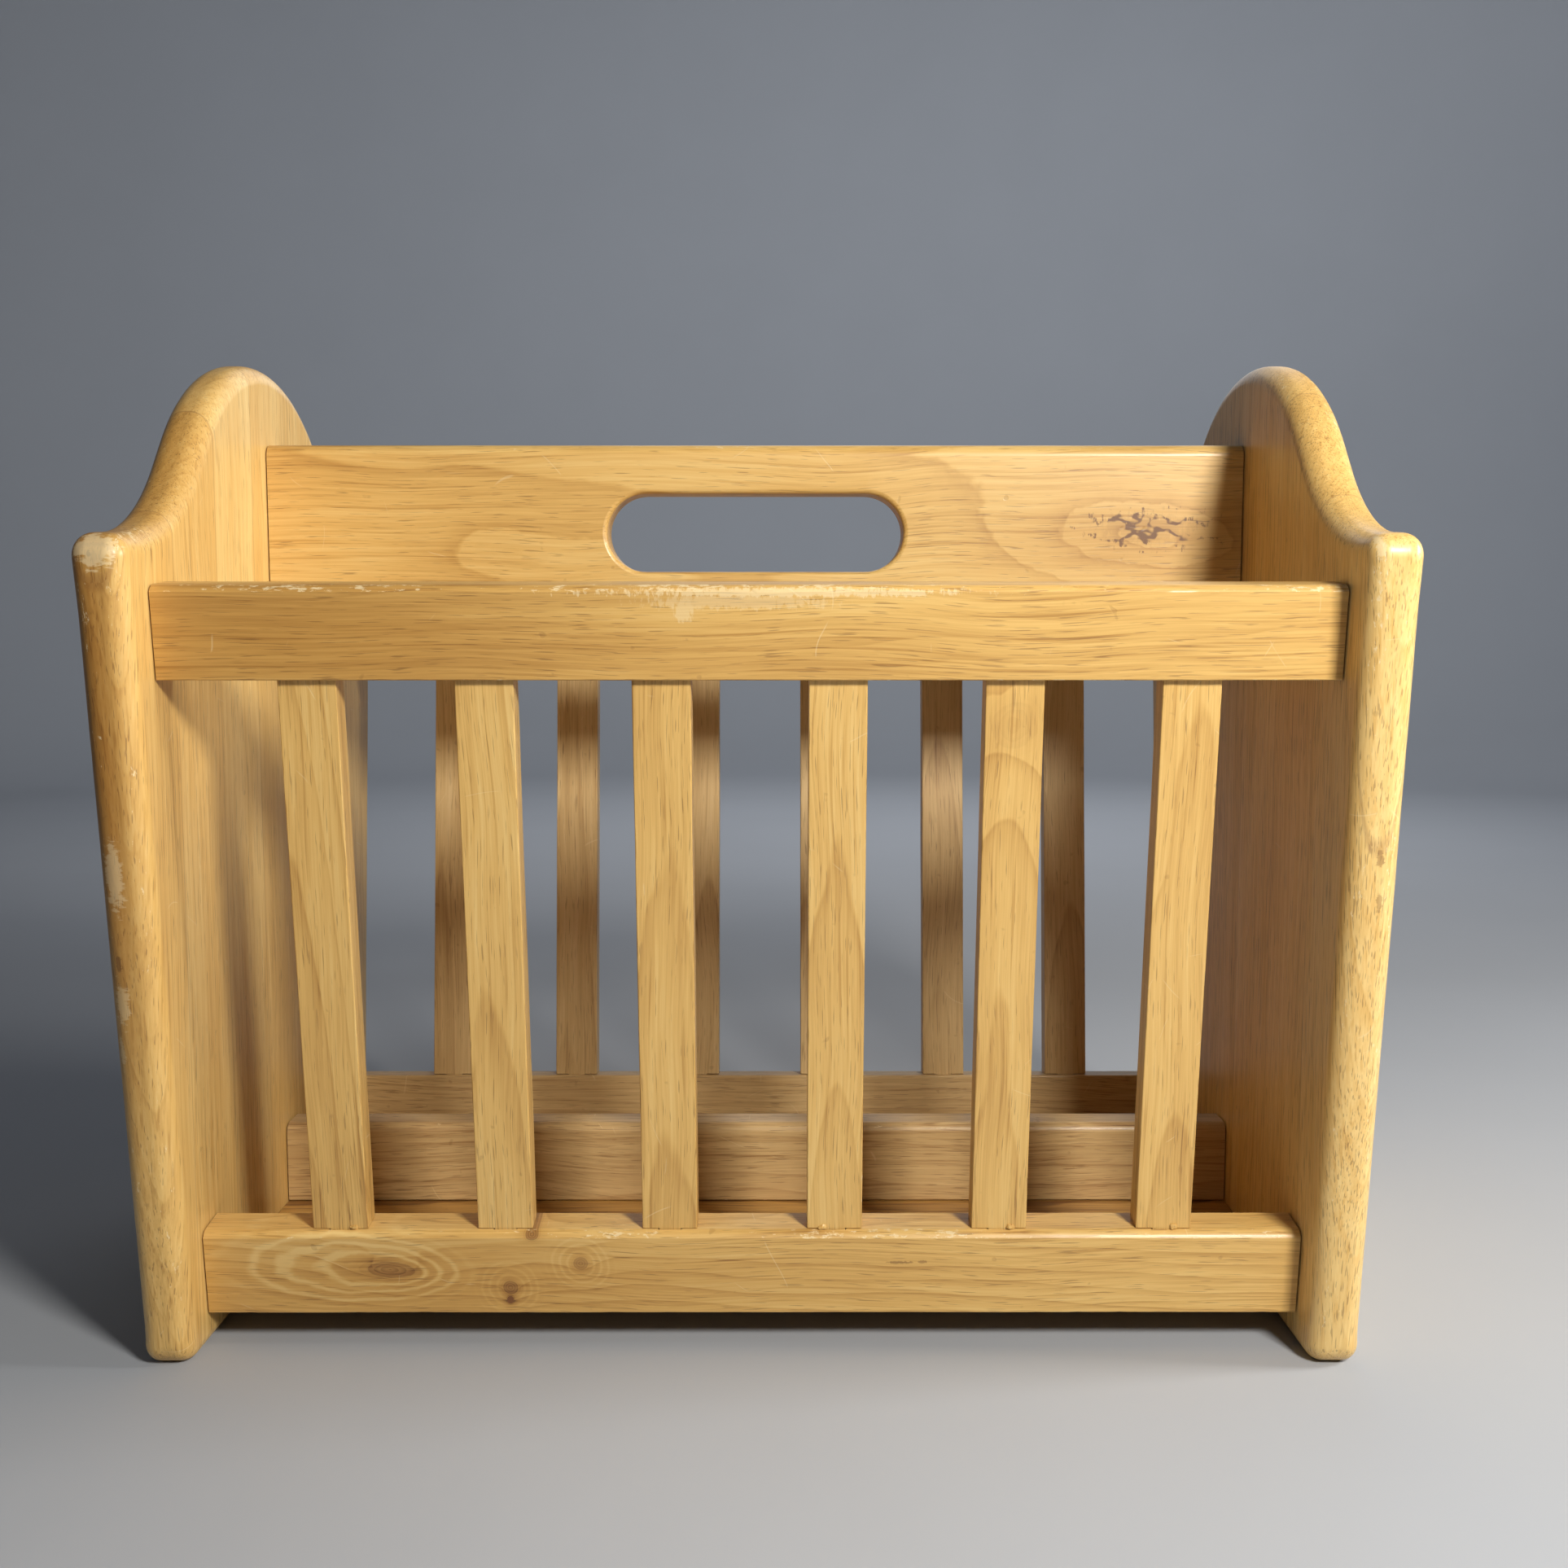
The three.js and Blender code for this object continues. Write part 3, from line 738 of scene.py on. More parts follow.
    def roughness(self, s: Sketch, cloud: Value, bare: Value) -> Socket:
        """Makes worn wood duller than lacquered wood.

        Args:
            s: The material's sketch.
            cloud: Slow change over the piece.
            bare: Where the lacquer is worn through.

        Returns:
            The roughness.
        """
        low = self.gloss_roughness - self.cloud_roughness / 2
        lacquer = s.math("MULTIPLY_ADD", cloud, self.cloud_roughness, low)
        gain = s.times(bare, self.bare_roughness - self.gloss_roughness)
        return s.math("ADD", lacquer, gain, clamp=True)

    def relief(
        self,
        s: Sketch,
        fibre: bpy.types.NodeOutputs,
        wear: bpy.types.NodeOutputs,
        bare: Value,
        seam: Value,
    ) -> Socket:
        """Raises the fibre and sinks pores, scratches, dents, worn patches and glue lines.

        Args:
            s: The material's sketch.
            fibre: What the fibre and pores give.
            wear: What the handling wear gives.
            bare: Where the lacquer is worn through.
            seam: The glue lines.

        Returns:
            The normal.
        """
        heights = (
            (fibre["Fibre"], 0.5),
            (fibre["Pores"], -0.35),
            (wear["Scratches"], -0.5),
            (wear["Dents"], -1.2),
            (bare, -0.8),
            (seam, -0.3),
        )
        bump = s.put("Bump")
        bump.inputs["Strength"].default_value = self.bump_strength
        bump.inputs["Distance"].default_value = self.bump_distance
        s.feed(bump.inputs["Height"], s.total(*(s.times(mask, up) for mask, up in heights)))
        return bump.outputs[0]

    def placed_knot(
        self, s: Sketch, effects: WoodEffects, own: Value, knot: Knot
    ) -> bpy.types.NodeOutputs:
        """Places a knot.

        Args:
            s: The material's sketch.
            effects: The shared node groups.
            own: The piece's own coordinates.
            knot: The knot.

        Returns:
            What the knot's group gives.
        """
        return s.use(
            effects.knot,
            Vector=own,
            Centre=(knot.x * MM, knot.y * MM, 0.0),
            Half_size=(knot.half_length * MM, knot.half_width * MM, 1.0),
            Turn=knot.turn,
            Skew=knot.skew,
        )

    def placed_mark(
        self, s: Sketch, effects: WoodEffects, own: Value, mark: Mark, colour: Value, bare: Value
    ) -> tuple[Value, Value]:
        """Places a local mark.

        Args:
            s: The material's sketch.
            effects: The shared node groups.
            own: The piece's own coordinates.
            mark: The mark.
            colour: The colour so far.
            bare: The bare wood so far.

        Returns:
            The colour and the bare wood with the mark in them.
        """
        centre = (mark.x * MM, mark.y * MM, mark.z * MM)
        half = tuple(size * MM for size in mark.half_size)
        patch = s.use(effects.patch, Vector=own, Centre=centre, Half_size=half)
        mask = s.times(patch["Soft" if mark.kind is MarkKind.TONE_AND_PAINTED_SHADE else "Mask"], mark.strength)
        if mark.kind is MarkKind.BARE:
            return colour, s.math("MAXIMUM", bare, mask)
        if mark.kind is MarkKind.TRACK:
            mask = s.times(mask, s.use(effects.track, Vector=own)["Track"])
        # Soft darkening marks multiply in the tint: painted shade on some pieces, a darker wood tone on
        # others.
        if mark.kind is MarkKind.TONE_AND_PAINTED_SHADE:
            return s.mix(mask, colour, self.tone_and_shade_tint, "MULTIPLY"), bare
        return s.mix(mask, colour, self.brown), bare


# Painted shade: a darker, greyer and less glossy copy of the timber finish. It is used for the pieces
# inside and behind the rack: the back lower rail, the back slats and the lower centre board.
PAINTED_SHADE_TIMBER = TimberFinish(
    pale=(0.8, 0.61, 0.33, 1.0),
    honey=(0.64, 0.44, 0.2, 1.0),
    amber=(0.47, 0.29, 0.12, 1.0),
    coat=0.1,
)


@dataclass(frozen=True)
class SteelFinish:
    """Plain zinc-plated steel."""

    colour: Colour = (0.62, 0.62, 0.6, 1.0)
    tarnish: Colour = (0.3, 0.27, 0.23, 1.0)

    def material(self, name: str) -> bpy.types.Material:
        """Makes the material.

        Args:
            name: Name of the material.

        Returns:
            The material.
        """
        material, s, shader = new_material(name)
        shader["Metallic"].default_value = 1.0
        cloud = s.noise(s.put("TexCoord").outputs["Object"], Waves.TARNISH)
        s.feed(shader["Base Color"], s.mix(s.rise(cloud, 0.5, 0.75), self.colour, self.tarnish))
        s.feed(shader["Roughness"], s.math("MULTIPLY_ADD", cloud, 0.3, 0.22))
        return material


# ---- how meshes are shaped ----------------------------------------------------------------------
@dataclass
class Ring:
    """One closed loop of a loft: its points and how much each lies on an arris."""

    points: list[Vector]
    arris: list[float]


def arc(centre: Point, radius: float, start: float, stop: float, count: int) -> list[Point]:
    """Points along an arc.

    Args:
        centre: Its centre.
        radius: Its radius.
        start: First angle, in radians.
        stop: Last angle.
        count: Number of steps.

    Returns:
        The points, both ends included.
    """
    angles = [start + (stop - start) * i / count for i in range(count + 1)]
    return [(centre[0] + radius * math.cos(a), centre[1] + radius * math.sin(a)) for a in angles]


def corner(at: Point, towards: Point, radius: float, count: int = 3) -> Section:
    """A rounded right-angled corner of a section, with arris weights.

    Args:
        at: The sharp corner.
        towards: Signs that point from the corner into the section.
        radius: Radius of the round.
        count: Number of steps.

    Returns:
        Points with weights, turning anticlockwise.
    """
    centre = (at[0] + towards[0] * radius, at[1] + towards[1] * radius)
    middle = math.atan2(-towards[1], -towards[0])
    points = arc(centre, radius, middle - math.pi / 4, middle + math.pi / 4, count)
    return [(p, math.sin(math.pi * i / count)) for i, p in enumerate(points)]


def bar_section(
    low: Point, high: Point, low_round: float, high_round: float, high_steps: int = 3
) -> Section:
    """The section of a board or bar with four rounded corners.

    Args:
        low: Its lowest corner.
        high: Its highest corner.
        low_round: Radius of the two corners at the low end of its first axis.
        high_round: Radius of the other two.
        high_steps: Number of steps in each of those.

    Returns:
        Points with arris weights, turning anticlockwise.
    """
    section = corner(high, (-1, -1), high_round, high_steps)
    section += corner((low[0], high[1]), (1, -1), low_round)
    section += corner(low, (1, 1), low_round)
    return section + corner((high[0], low[1]), (-1, 1), high_round, high_steps)


def bar_rings(section: Section, stations: Iterable[float]) -> list[Ring]:
    """Carries a section along X.

    Args:
        section: Points in (Y, Z) with arris weights.
        stations: Where it is repeated.

    Returns:
        The rings of the bar.
    """
    weights = [weight for _, weight in section]
    return [Ring([Vector((x, *p)) for p, _ in section], list(weights)) for x in stations]


def spread(start: float, stop: float, count: int) -> list[float]:
    """Even stations from start to stop."""
    return [start + (stop - start) * i / count for i in range(count + 1)]


def band_faces(rows: int, size: int) -> list[tuple[int, ...]]:
    """Four-sided faces between rows of points that each close on themselves.

    Args:
        rows: Number of rows.
        size: Number of points in each.

    Returns:
        The faces.
    """
    faces = []
    for row in range(rows - 1):
        low, high = row * size, (row + 1) * size
        for i in range(size):
            j = (i + 1) % size
            faces.append((low + i, low + j, high + j, high + i))
    return faces


def add_object(name: str, data: bpy.types.ID) -> bpy.types.Object:
    """Adds an object to the scene.

    Args:
        name: Its name.
        data: Its mesh, light or camera.

    Returns:
        The object.
    """
    made = bpy.data.objects.new(name, data)
    bpy.context.scene.collection.objects.link(made)
    return made


def loft(name: str, rings: Sequence[Ring]) -> bpy.types.Object:
    """Makes a closed solid through a row of rings.

    Args:
        name: Name of the object.
        rings: Its rings, all with the same number of points.

    Returns:
        The object, with its arris weights in an attribute.
    """
    size = len(rings[0].points)
    points = [p for ring in rings for p in ring.points]
    faces = band_faces(len(rings), size)
    faces.append(tuple(reversed(range(size))))
    faces.append(tuple(range(len(points) - size, len(points))))
    mesh = bpy.data.meshes.new(name)
    mesh.from_pydata(points, [], faces)
    shape = bmesh.new()
    shape.from_mesh(mesh)
    bmesh.ops.recalc_face_normals(shape, faces=shape.faces)
    shape.to_mesh(mesh)
    shape.free()
    weights = mesh.attributes.new("arris", "FLOAT", "POINT")
    weights.data.foreach_set("value", [w for ring in rings for w in ring.arris])
    return add_object(name, mesh)


def hand_finish(piece: bpy.types.Object, seed: float, sway: float, nick: float) -> None:
    """Gives sawn and sanded timber its slight unevenness.

    Args:
        piece: The piece, whose points move.
        seed: What sets this piece apart.
        sway: How far its faces stray, in metres.
        nick: How far small nicks go into its arrises, in metres.
    """
    weights = piece.data.attributes["arris"].data
    shift = Vector([seed * each for each in SEED_SPREAD])
    for vertex, weight in zip(piece.data.vertices, weights):
        at = vertex.co
        slow = noise.noise(at * SWAYS_PER_METRE + shift)
        quick = max(0.0, noise.noise(at * NICKS_PER_METRE + shift) - NICK_BAR)
        move = sway * slow - nick * quick * weight.value
        vertex.co = at + vertex.normal * move


def circle(centre: Point, radius: float, count: int) -> list[Point]:
    """Points round a circle."""
    return arc(centre, radius, 0.0, math.tau * (count - 1) / count, count - 1)


def rod(name: str, low: Vector, high: Vector, radius: float) -> bpy.types.Object:
    """A closed rod along X, used to bore a hole.

    Args:
        name: Name of the object.
        low: Middle of its left end.
        high: Middle of its right end.
        radius: Its radius.

    Returns:
        The rod.
    """
    loop = circle((low.y, low.z), radius, 24)
    return loft(name, bar_rings([(p, 0.0) for p in loop], (low.x, high.x)))


def block(name: str, low: Vector, high: Vector, place: Matrix | None = None) -> bpy.types.Object:
    """A closed block, used to cut a recess.

    Args:
        name: Name of the object.
        low: Its lowest corner.
        high: Its highest corner.
        place: Where it stands, if not in the rack's own frame.

    Returns:
        The block.
    """
    loop = [(low.y, low.z), (high.y, low.z), (high.y, high.z), (low.y, high.z)]
    made = loft(name, bar_rings([(p, 0.0) for p in loop], (low.x, high.x)))
    if place is not None:
        made.data.transform(place)
    return made


def carve(
    piece: bpy.types.Object, cutters: Sequence[bpy.types.Object], work: Work = Work.CUT
) -> None:
    """Cuts shapes out of a piece, or joins them to it.

    Args:
        piece: The piece, already in its place.
        cutters: Closed shapes in the rack's frame, which are used up.
        work: Whether they are cut out or joined on.
    """
    joined = bmesh.new()
    for cutter in cutters:
        joined.from_mesh(cutter.data)
    tool_mesh = bpy.data.meshes.new("cutters")
    joined.to_mesh(tool_mesh)
    joined.free()
    tool = add_object("cutters", tool_mesh)
    cut = piece.modifiers.new("cut", "BOOLEAN")
    cut.operation = work.value
    cut.solver = "EXACT"
    cut.object = tool
    bpy.context.view_layer.update()
    worked = piece.evaluated_get(bpy.context.evaluated_depsgraph_get())
    result = bpy.data.meshes.new_from_object(worked)
    piece.modifiers.clear()
    piece.data = result
    for used in (*cutters, tool):
        bpy.data.objects.remove(used)


def smooth_by_angle(piece: bpy.types.Object) -> None:
    """Shades a piece smooth but keeps its crisp corners.

    Args:
        piece: The piece.
    """
    shape = bmesh.new()
    shape.from_mesh(piece.data)
    for face in shape.faces:
        face.smooth = True
    for edge in shape.edges:
        edge.smooth = len(edge.link_faces) == 2 and edge.calc_face_angle(0.0) < CRISP_CORNER
    shape.to_mesh(piece.data)
    shape.free()
    even = piece.modifiers.new("even shading", "WEIGHTED_NORMAL")
    even.keep_sharp = True
    even.weight = LARGE_FACE_WEIGHT


def fit(piece: bpy.types.Object, node: str, material: bpy.types.Material) -> None:
    """Dresses a finished piece and ties it to the frame.

    Args:
        piece: The piece in its place.
        node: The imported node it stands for.
        material: Its material.
    """
    smooth_by_angle(piece)
    piece.data.materials.clear()
    piece.data.materials.append(material)
    piece.name = node + "_timber"
    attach(piece, BODY)
    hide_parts(node)
    LOG.info("%s: %d faces", piece.name, len(piece.data.polygons))


def axes(x: Sequence[float], y: Sequence[float], z: Sequence[float], at: Sequence[float]) -> Matrix:
    """The placement that turns a piece's own axes onto these.

    Args:
        x: Where its X axis points.
        y: Where its Y axis points.
        z: Where its Z axis points.
        at: Where its origin stands.

    Returns:
        The placement.
    """
    turn = Matrix((x, y, z)).transposed().to_4x4()
    return Matrix.Translation(Vector(at)) @ turn


HALF_TURN = Matrix.Rotation(math.pi, 4, "Z")


def dowel_bores(start: str, part: str = "") -> list[bpy.types.Object]:
    """Bores for dowels, a little wider and longer than each.

    Args:
        start: How the names of the dowels' nodes start.
        part: What their names also hold.

    Returns:
        The cutters.
    """
    bores = []
    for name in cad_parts:
        if name.startswith(start) and part in name:
            low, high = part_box(name)
            centre = (low + high) / 2
            radius = (high.z - low.z) / 2 + FIT_GAP
            left = Vector((low.x - BORE_ROOM, centre.y, centre.z))
            right = Vector((high.x + BORE_ROOM, centre.y, centre.z))
            bores.append(rod("bore", left, right, radius))
    return bores


# ---- end panels ---------------------------------------------------------------------------------
@dataclass
class EndPanels:
    """The two ogee-topped end panels."""

    effects: WoodEffects
    foot_half_depth: float = 120.3 * MM
    edge_round: float = 7.5 * MM
    sole_round: float = 5.5 * MM
    corner_round: float = 6.2 * MM
    crown_radius: float = 101.5 * MM
    valley_radius: float = 80.0 * MM
    flank: float = 14.0 * MM
    shoulder_slope: float = math.radians(5.0)
    shoulder_inset: float = 13.3 * MM
    shoulder_radius: float = 8.0 * MM
    foot_radius: float = 10.0 * MM
    shoulder_level: float = 265.0 * MM
    blend: float = 22.0 * MM
    sway: float = 0.12 * MM
    nick: float = 0.25 * MM
    round_steps: int = 8
    crown_steps: int = 26
    valley_steps: int = 22
    shoulder_steps: int = 12
    side_steps: int = 60
    foot_steps: int = 10
    sole_steps: int = 16
    rounds: int = 12
    finish: TimberFinish = field(default_factory=TimberFinish)

    def looks(self) -> dict[End, PieceLook]:
        """What is particular to each panel.

        Returns:
            A look for each end.
        """
        left_marks = (
            Mark(MarkKind.BARE, 289.0, 153.0, -0.5, (6.5, 7.0, 9.0), 0.75),
            Mark(MarkKind.STAIN, 287.0, 153.0, -1.5, (1.6, 4.0, 0.9), 0.9),
            Mark(MarkKind.BARE, 181.0, 141.0, -3.0, (14.0, 5.0, 3.5), 0.55),
            Mark(MarkKind.BARE, 136.0, 136.0, -4.0, (9.0, 5.0, 3.0), 0.5),
            Mark(MarkKind.STAIN, 150.0, 138.0, -4.0, (3.0, 4.0, 1.4), 0.6),
            Mark(MarkKind.BARE, 118.0, 134.0, -6.0, (7.0, 4.0, 1.6), 0.5),
            # The next three marks are painted shade. They darken the left panel's front edge and the
            # front of its ogee band, where the light is blocked.
            Mark(MarkKind.TONE_AND_PAINTED_SHADE, 170.0, 150.0, -4.0, (210.0, 24.0, 13.0), 1.0),
            Mark(MarkKind.TONE_AND_PAINTED_SHADE, 180.0, 150.0, -6.0, (230.0, 26.0, 12.0), 1.0),
            Mark(MarkKind.TONE_AND_PAINTED_SHADE, 325.0, 95.0, -5.0, (75.0, 80.0, 16.0), 1.0),
        )
        right_marks = (
            Mark(MarkKind.BARE, 289.0, 150.0, -6.0, (5.0, 8.0, 1.6), 0.8),
            Mark(MarkKind.STAIN, 187.0, 142.0, 1.0, (3.0, 4.0, 1.6), 0.5),
            Mark(MarkKind.STAIN, 172.0, 141.0, 2.0, (4.0, 4.0, 1.2), 0.45),
        )
        common = PieceLook(
            seed=3.37, tone=-0.11, heart=(20.0, -60.0), ring=3.2, swirl=5.0, figure=0.75,
            wear=0.34, strip=42.0,
        )
        return {
            End.LEFT: replace(common, marks=left_marks),
            End.RIGHT: replace(common, seed=8.61, density=1.8, marks=right_marks),
        }

    def flank_angle(self, height: float) -> float:
        """The steepest slope of the ogee, in radians.

        Args:
            height: Height of the panel.

        Returns:
            The angle, found in a few rounds because the shoulder moves with it.
        """
        arcs = self.crown_radius + self.valley_radius
        top = height - self.crown_radius - self.valley_radius * math.cos(self.shoulder_slope)
        angle = 0.0
        for _ in range(self.rounds):
            shoulder = top + arcs * math.cos(angle) - self.flank * math.sin(angle)
            reach = self.foot_half_depth + math.tan(LEAN) * shoulder - self.shoulder_inset
            reach += self.valley_radius * math.sin(self.shoulder_slope)
            angle = math.asin(reach / math.hypot(arcs, self.flank)) - math.atan2(self.flank, arcs)
        return angle

    def half_outline(self, height: float) -> list[Point]:
        """The side view from the crown down the front to the middle of the sole.

        Args:
            height: Height of the panel.

        Returns:
            Points as (forward, up).
        """
        angle = self.flank_angle(height)
        slope = self.shoulder_slope
        crown = (0.0, height - self.crown_radius)
        top = (self.crown_radius * math.sin(angle), crown[1] + self.crown_radius * math.cos(angle))
        foot = (top[0] + self.flank * math.cos(angle), top[1] - self.flank * math.sin(angle))
        valley = (
            foot[0] + self.valley_radius * math.sin(angle),
            foot[1] + self.valley_radius * math.cos(angle),
        )
        start = (
            valley[0] - self.valley_radius * math.sin(slope),
            valley[1] - self.valley_radius * math.cos(slope),
        )
        edge_slope, fall = math.tan(LEAN), math.tan(slope)
        line = start[1] + fall * start[0] - self.shoulder_radius / math.cos(slope)
        edge = self.foot_half_depth - self.shoulder_radius / math.cos(LEAN)
        level = (line - fall * edge) / (1 + fall * edge_slope)
        shoulder = (edge + edge_slope * level, level)
        foot_edge = self.foot_half_depth - self.foot_radius / math.cos(LEAN)
        toe = (foot_edge + edge_slope * self.foot_radius, self.foot_radius)
        points = arc(crown, self.crown_radius, QUARTER, QUARTER - angle, self.crown_steps)
        bend = (-QUARTER - angle, -QUARTER - slope)
        points += arc(valley, self.valley_radius, *bend, self.valley_steps)
        points += arc(shoulder, self.shoulder_radius, QUARTER - slope, -LEAN, self.shoulder_steps)
        heel = arc(toe, self.foot_radius, -LEAN, -QUARTER, self.foot_steps)
        (y, z), (end_y, end_z) = points[-1], heel[0]
        points += [
            (y + (end_y - y) * i / self.side_steps, z + (end_z - z) * i / self.side_steps)
            for i in range(1, self.side_steps)
        ]
        sole = [(toe[0] * (1 - i / self.sole_steps), 0.0) for i in range(1, self.sole_steps + 1)]
        return points + heel + sole

    def round_at(self, forward: float, up: float) -> float:
        """Radius of the rounded edges at a point of the outline.

        Args:
            forward: How far the point lies from the middle.
            up: Its height.

        Returns:
            The radius, smaller at the sole and at the two shoulders.
        """
        sole = min(1.0, max(0.0, up / self.foot_radius))
        radius = self.sole_round + (self.edge_round - self.sole_round) * sole**2
        reach = self.foot_half_depth + math.tan(LEAN) * up
        near = max(0.0, 1 - abs(abs(forward) - reach) / self.blend)
        high = min(1.0, max(0.0, (up - self.shoulder_level) / self.blend))
        share = near * high
        share = share * share * (3 - 2 * share)
        return radius + (self.corner_round - radius) * share

    def rings(self, height: float, thickness: float) -> list[Ring]:
        """The panel as loops from its outer face to its inner one.

        Args:
            height: Height of the panel.
            thickness: Its thickness.

        Returns:
            The rings.
        """
        half = self.half_outline(height)
        outline = half + [(-y, x) for y, x in reversed(half[1:-1])]
        count = len(outline)
        rings = []
        steps = spread(0.0, QUARTER, self.round_steps)
        for sign, angles in ((-1, steps), (1, steps[::-1])):
            for angle in angles:
                points, weights = [], []
                for i, (y, x) in enumerate(outline):
                    before, after = outline[i - 1], outline[(i + 1) % count]
                    along = Vector((after[0] - before[0], after[1] - before[1])).normalized()
                    inward = Vector((along.y, -along.x))
                    radius = self.round_at(y, x)
                    offset = radius * (1 - math.sin(angle))
                    z = sign * (thickness / 2 - radius * (1 - math.cos(angle)))
                    points.append(Vector((x + inward.y * offset, y + inward.x * offset, z)))
                    weights.append(math.sin(angle) * 0.6 + math.sin(2 * angle) * 0.4)
                rings.append(Ring(points, weights))
        return rings

    def build(self) -> None:
        """Builds and dresses both panels."""
        for end, look in self.looks().items():
            node = f"end_panel_{end.value}"
            low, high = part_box(node)
            panel = loft(node, self.rings(high.z, high.x - low.x))
            hand_finish(panel, look.seed, self.sway, self.nick)
            for vertex in panel.data.vertices:
                vertex.co.x = max(vertex.co.x, 0.0)
            middle = (low + high) / 2
            panel.matrix_world = axes((0, 0, 1), (0, -1, 0), (1, 0, 0), (middle.x, 0, 0))
            carve(panel, dowel_bores("dowel", end.value))
            fit(panel, node, self.finish.material(node, look, self.effects))


# ---- leaning sides ------------------------------------------------------------------------------
@dataclass
class LeaningSide:
    """One leaning side: two rails and the slats between them."""

    effects: WoodEffects
    side: Side
    rail_thickness: float = 16.0 * MM
    rail_height: float = 32.0 * MM
    arris_drop: float = 2.2 * MM
    arris_radius: float = 4.0 * MM
    back_round: float = 1.0 * MM
    bottom_arris: float = 0.6 * MM
    slat_width: float = 20.0 * MM
    slat_thickness: float = 10.0 * MM
    slat_arris: float = 0.5 * MM
    tenon_width: float = 8.0 * MM
    tenon_length: float = 10.0 * MM
    tenon_ease: float = 0.05 * MM
    run_out: float = 10.0 * MM
    slat_count: int = 6
    slat_steps: int = 80
    rail_steps: int = 130
    rail_sway: float = 0.09 * MM
    rail_nick: float = 0.35 * MM
    slat_sway: float = 0.12 * MM
    slat_nick: float = 0.5 * MM
    crest_edge: float = 0.5 * MM
    bore_past: float = 2.0 * MM
    bead_radius: float = 1.1 * MM
    bead_stretch: float = 1.3
    bead_steps: int = 8
    bead_lumps_per_metre: float = 900.0
    bead_lumpiness: float = 0.55
    glue_beads: dict[int, float] = field(
        default_factory=lambda: {1: 4.8 * MM, 4: -4.4 * MM, 5: 4.0 * MM, 6: 3.6 * MM}
    )
    finish: TimberFinish = field(default_factory=TimberFinish)

    def glue_bead(self, at: Vector, index: int) -> bpy.types.Object:
        """A lump of dried glue and splinters at the foot of a slat.

        Args:
            at: Its middle, in the rack's frame.
            index: The slat's number, which sets the lump's shape.

        Returns:
            The closed lump.
        """
        rings = []
        for i in range(1, self.bead_steps):
            angle = math.pi * i / self.bead_steps
            radius = self.bead_radius * math.sin(angle)
            loop = circle((at.y, at.z), radius, 12)
            x = at.x - self.bead_radius * self.bead_stretch * math.cos(angle)
            rings.append(Ring([Vector((x, *p)) for p in loop], [1.0] * len(loop)))
        lump = loft("glue_bead", rings)
        shift = Vector((index * 5.3, index * 2.9, 0.0))
        for vertex in lump.data.vertices:
            rough = noise.noise(vertex.co * self.bead_lumps_per_metre + shift)
            vertex.co = at + (vertex.co - at) * (1.0 + self.bead_lumpiness * rough)
        return lump

    def rail_place(self, level: Level) -> Matrix:
        """Where a rail's own frame stands: X along it, Y up the lean, Z out of its front face.

        Args:
            level: Which rail.

        Returns:
            The placement.
        """
        low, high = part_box(f"{self.side.value}_{level.value}_rail")
        nearest = low.y if self.side is Side.FRONT else -high.y
        crest = self.rail_height - self.arris_drop
        y = nearest + crest * math.sin(LEAN)
        z = low.z - self.bottom_arris * math.sin(LEAN)
        up = (0.0, -math.sin(LEAN), math.cos(LEAN))
        out = (0.0, -math.cos(LEAN), -math.sin(LEAN))
        place = axes((1, 0, 0), up, out, (0, y, z))
        return place if self.side is Side.FRONT else HALF_TURN @ place

    def rail_section(self) -> Section:
        """The rail's section in its own (Y, Z), front face at Z = 0.

        Returns:
            Points with arris weights, turning clockwise.
        """
        drop = self.arris_radius - self.arris_drop
        sweep = math.acos(drop / self.arris_radius)
        centre = (self.rail_height - self.arris_radius, -self.arris_radius * math.sin(sweep))
        crest = [(p, 0.9) for p in reversed(arc(centre, self.arris_radius, 0.0, sweep, 6))]
        crest[-1] = (crest[-1][0], 0.1)
        crest.insert(0, ((self.rail_height - self.arris_drop - self.crest_edge, 0.0), 0.3))
        back = -self.rail_thickness
        section = corner((0.0, 0.0), (1, -1), self.bottom_arris)[::-1] + crest
        section += corner((self.rail_height, back), (-1, 1), self.back_round)[::-1]
        return section + corner((0.0, back), (1, 1), self.bottom_arris)[::-1]

    def build_rail(self, level: Level, look: PieceLook) -> None:
        """Builds and dresses one rail.

        Args:
            level: Which rail.
            look: What is particular to it.
        """
        node = f"{self.side.value}_{level.value}_rail"
        low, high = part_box(node)
        stations = spread(low.x + END_SEAM, high.x - END_SEAM, self.rail_steps)
        rail = loft(node, bar_rings(self.rail_section(), stations))
        hand_finish(rail, look.seed, self.rail_sway, self.rail_nick)
        place = self.rail_place(level)
        rail.matrix_world = place
        cutters = dowel_bores(f"dowel_{node}")
        cutters += [self.mortise(level, place, x) for x in self.slat_places()]
        if level is Level.BOTTOM:
            cutters.append(self.rebate(low, high))
        carve(rail, cutters)
        lower_back = self.side is Side.BACK and level is Level.BOTTOM
        # The back lower rail gets the copy of the finish with painted shade.
        finish = PAINTED_SHADE_TIMBER if lower_back else self.finish
        fit(rail, node, finish.material(node, look, self.effects))

    def slat_places(self) -> list[float]:
        """Middles of the slats along the rack, left to right."""
        boxes = [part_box(f"{self.side.value}_slat_{i + 1}") for i in range(self.slat_count)]
        return [(low.x + high.x) / 2 for low, high in boxes]

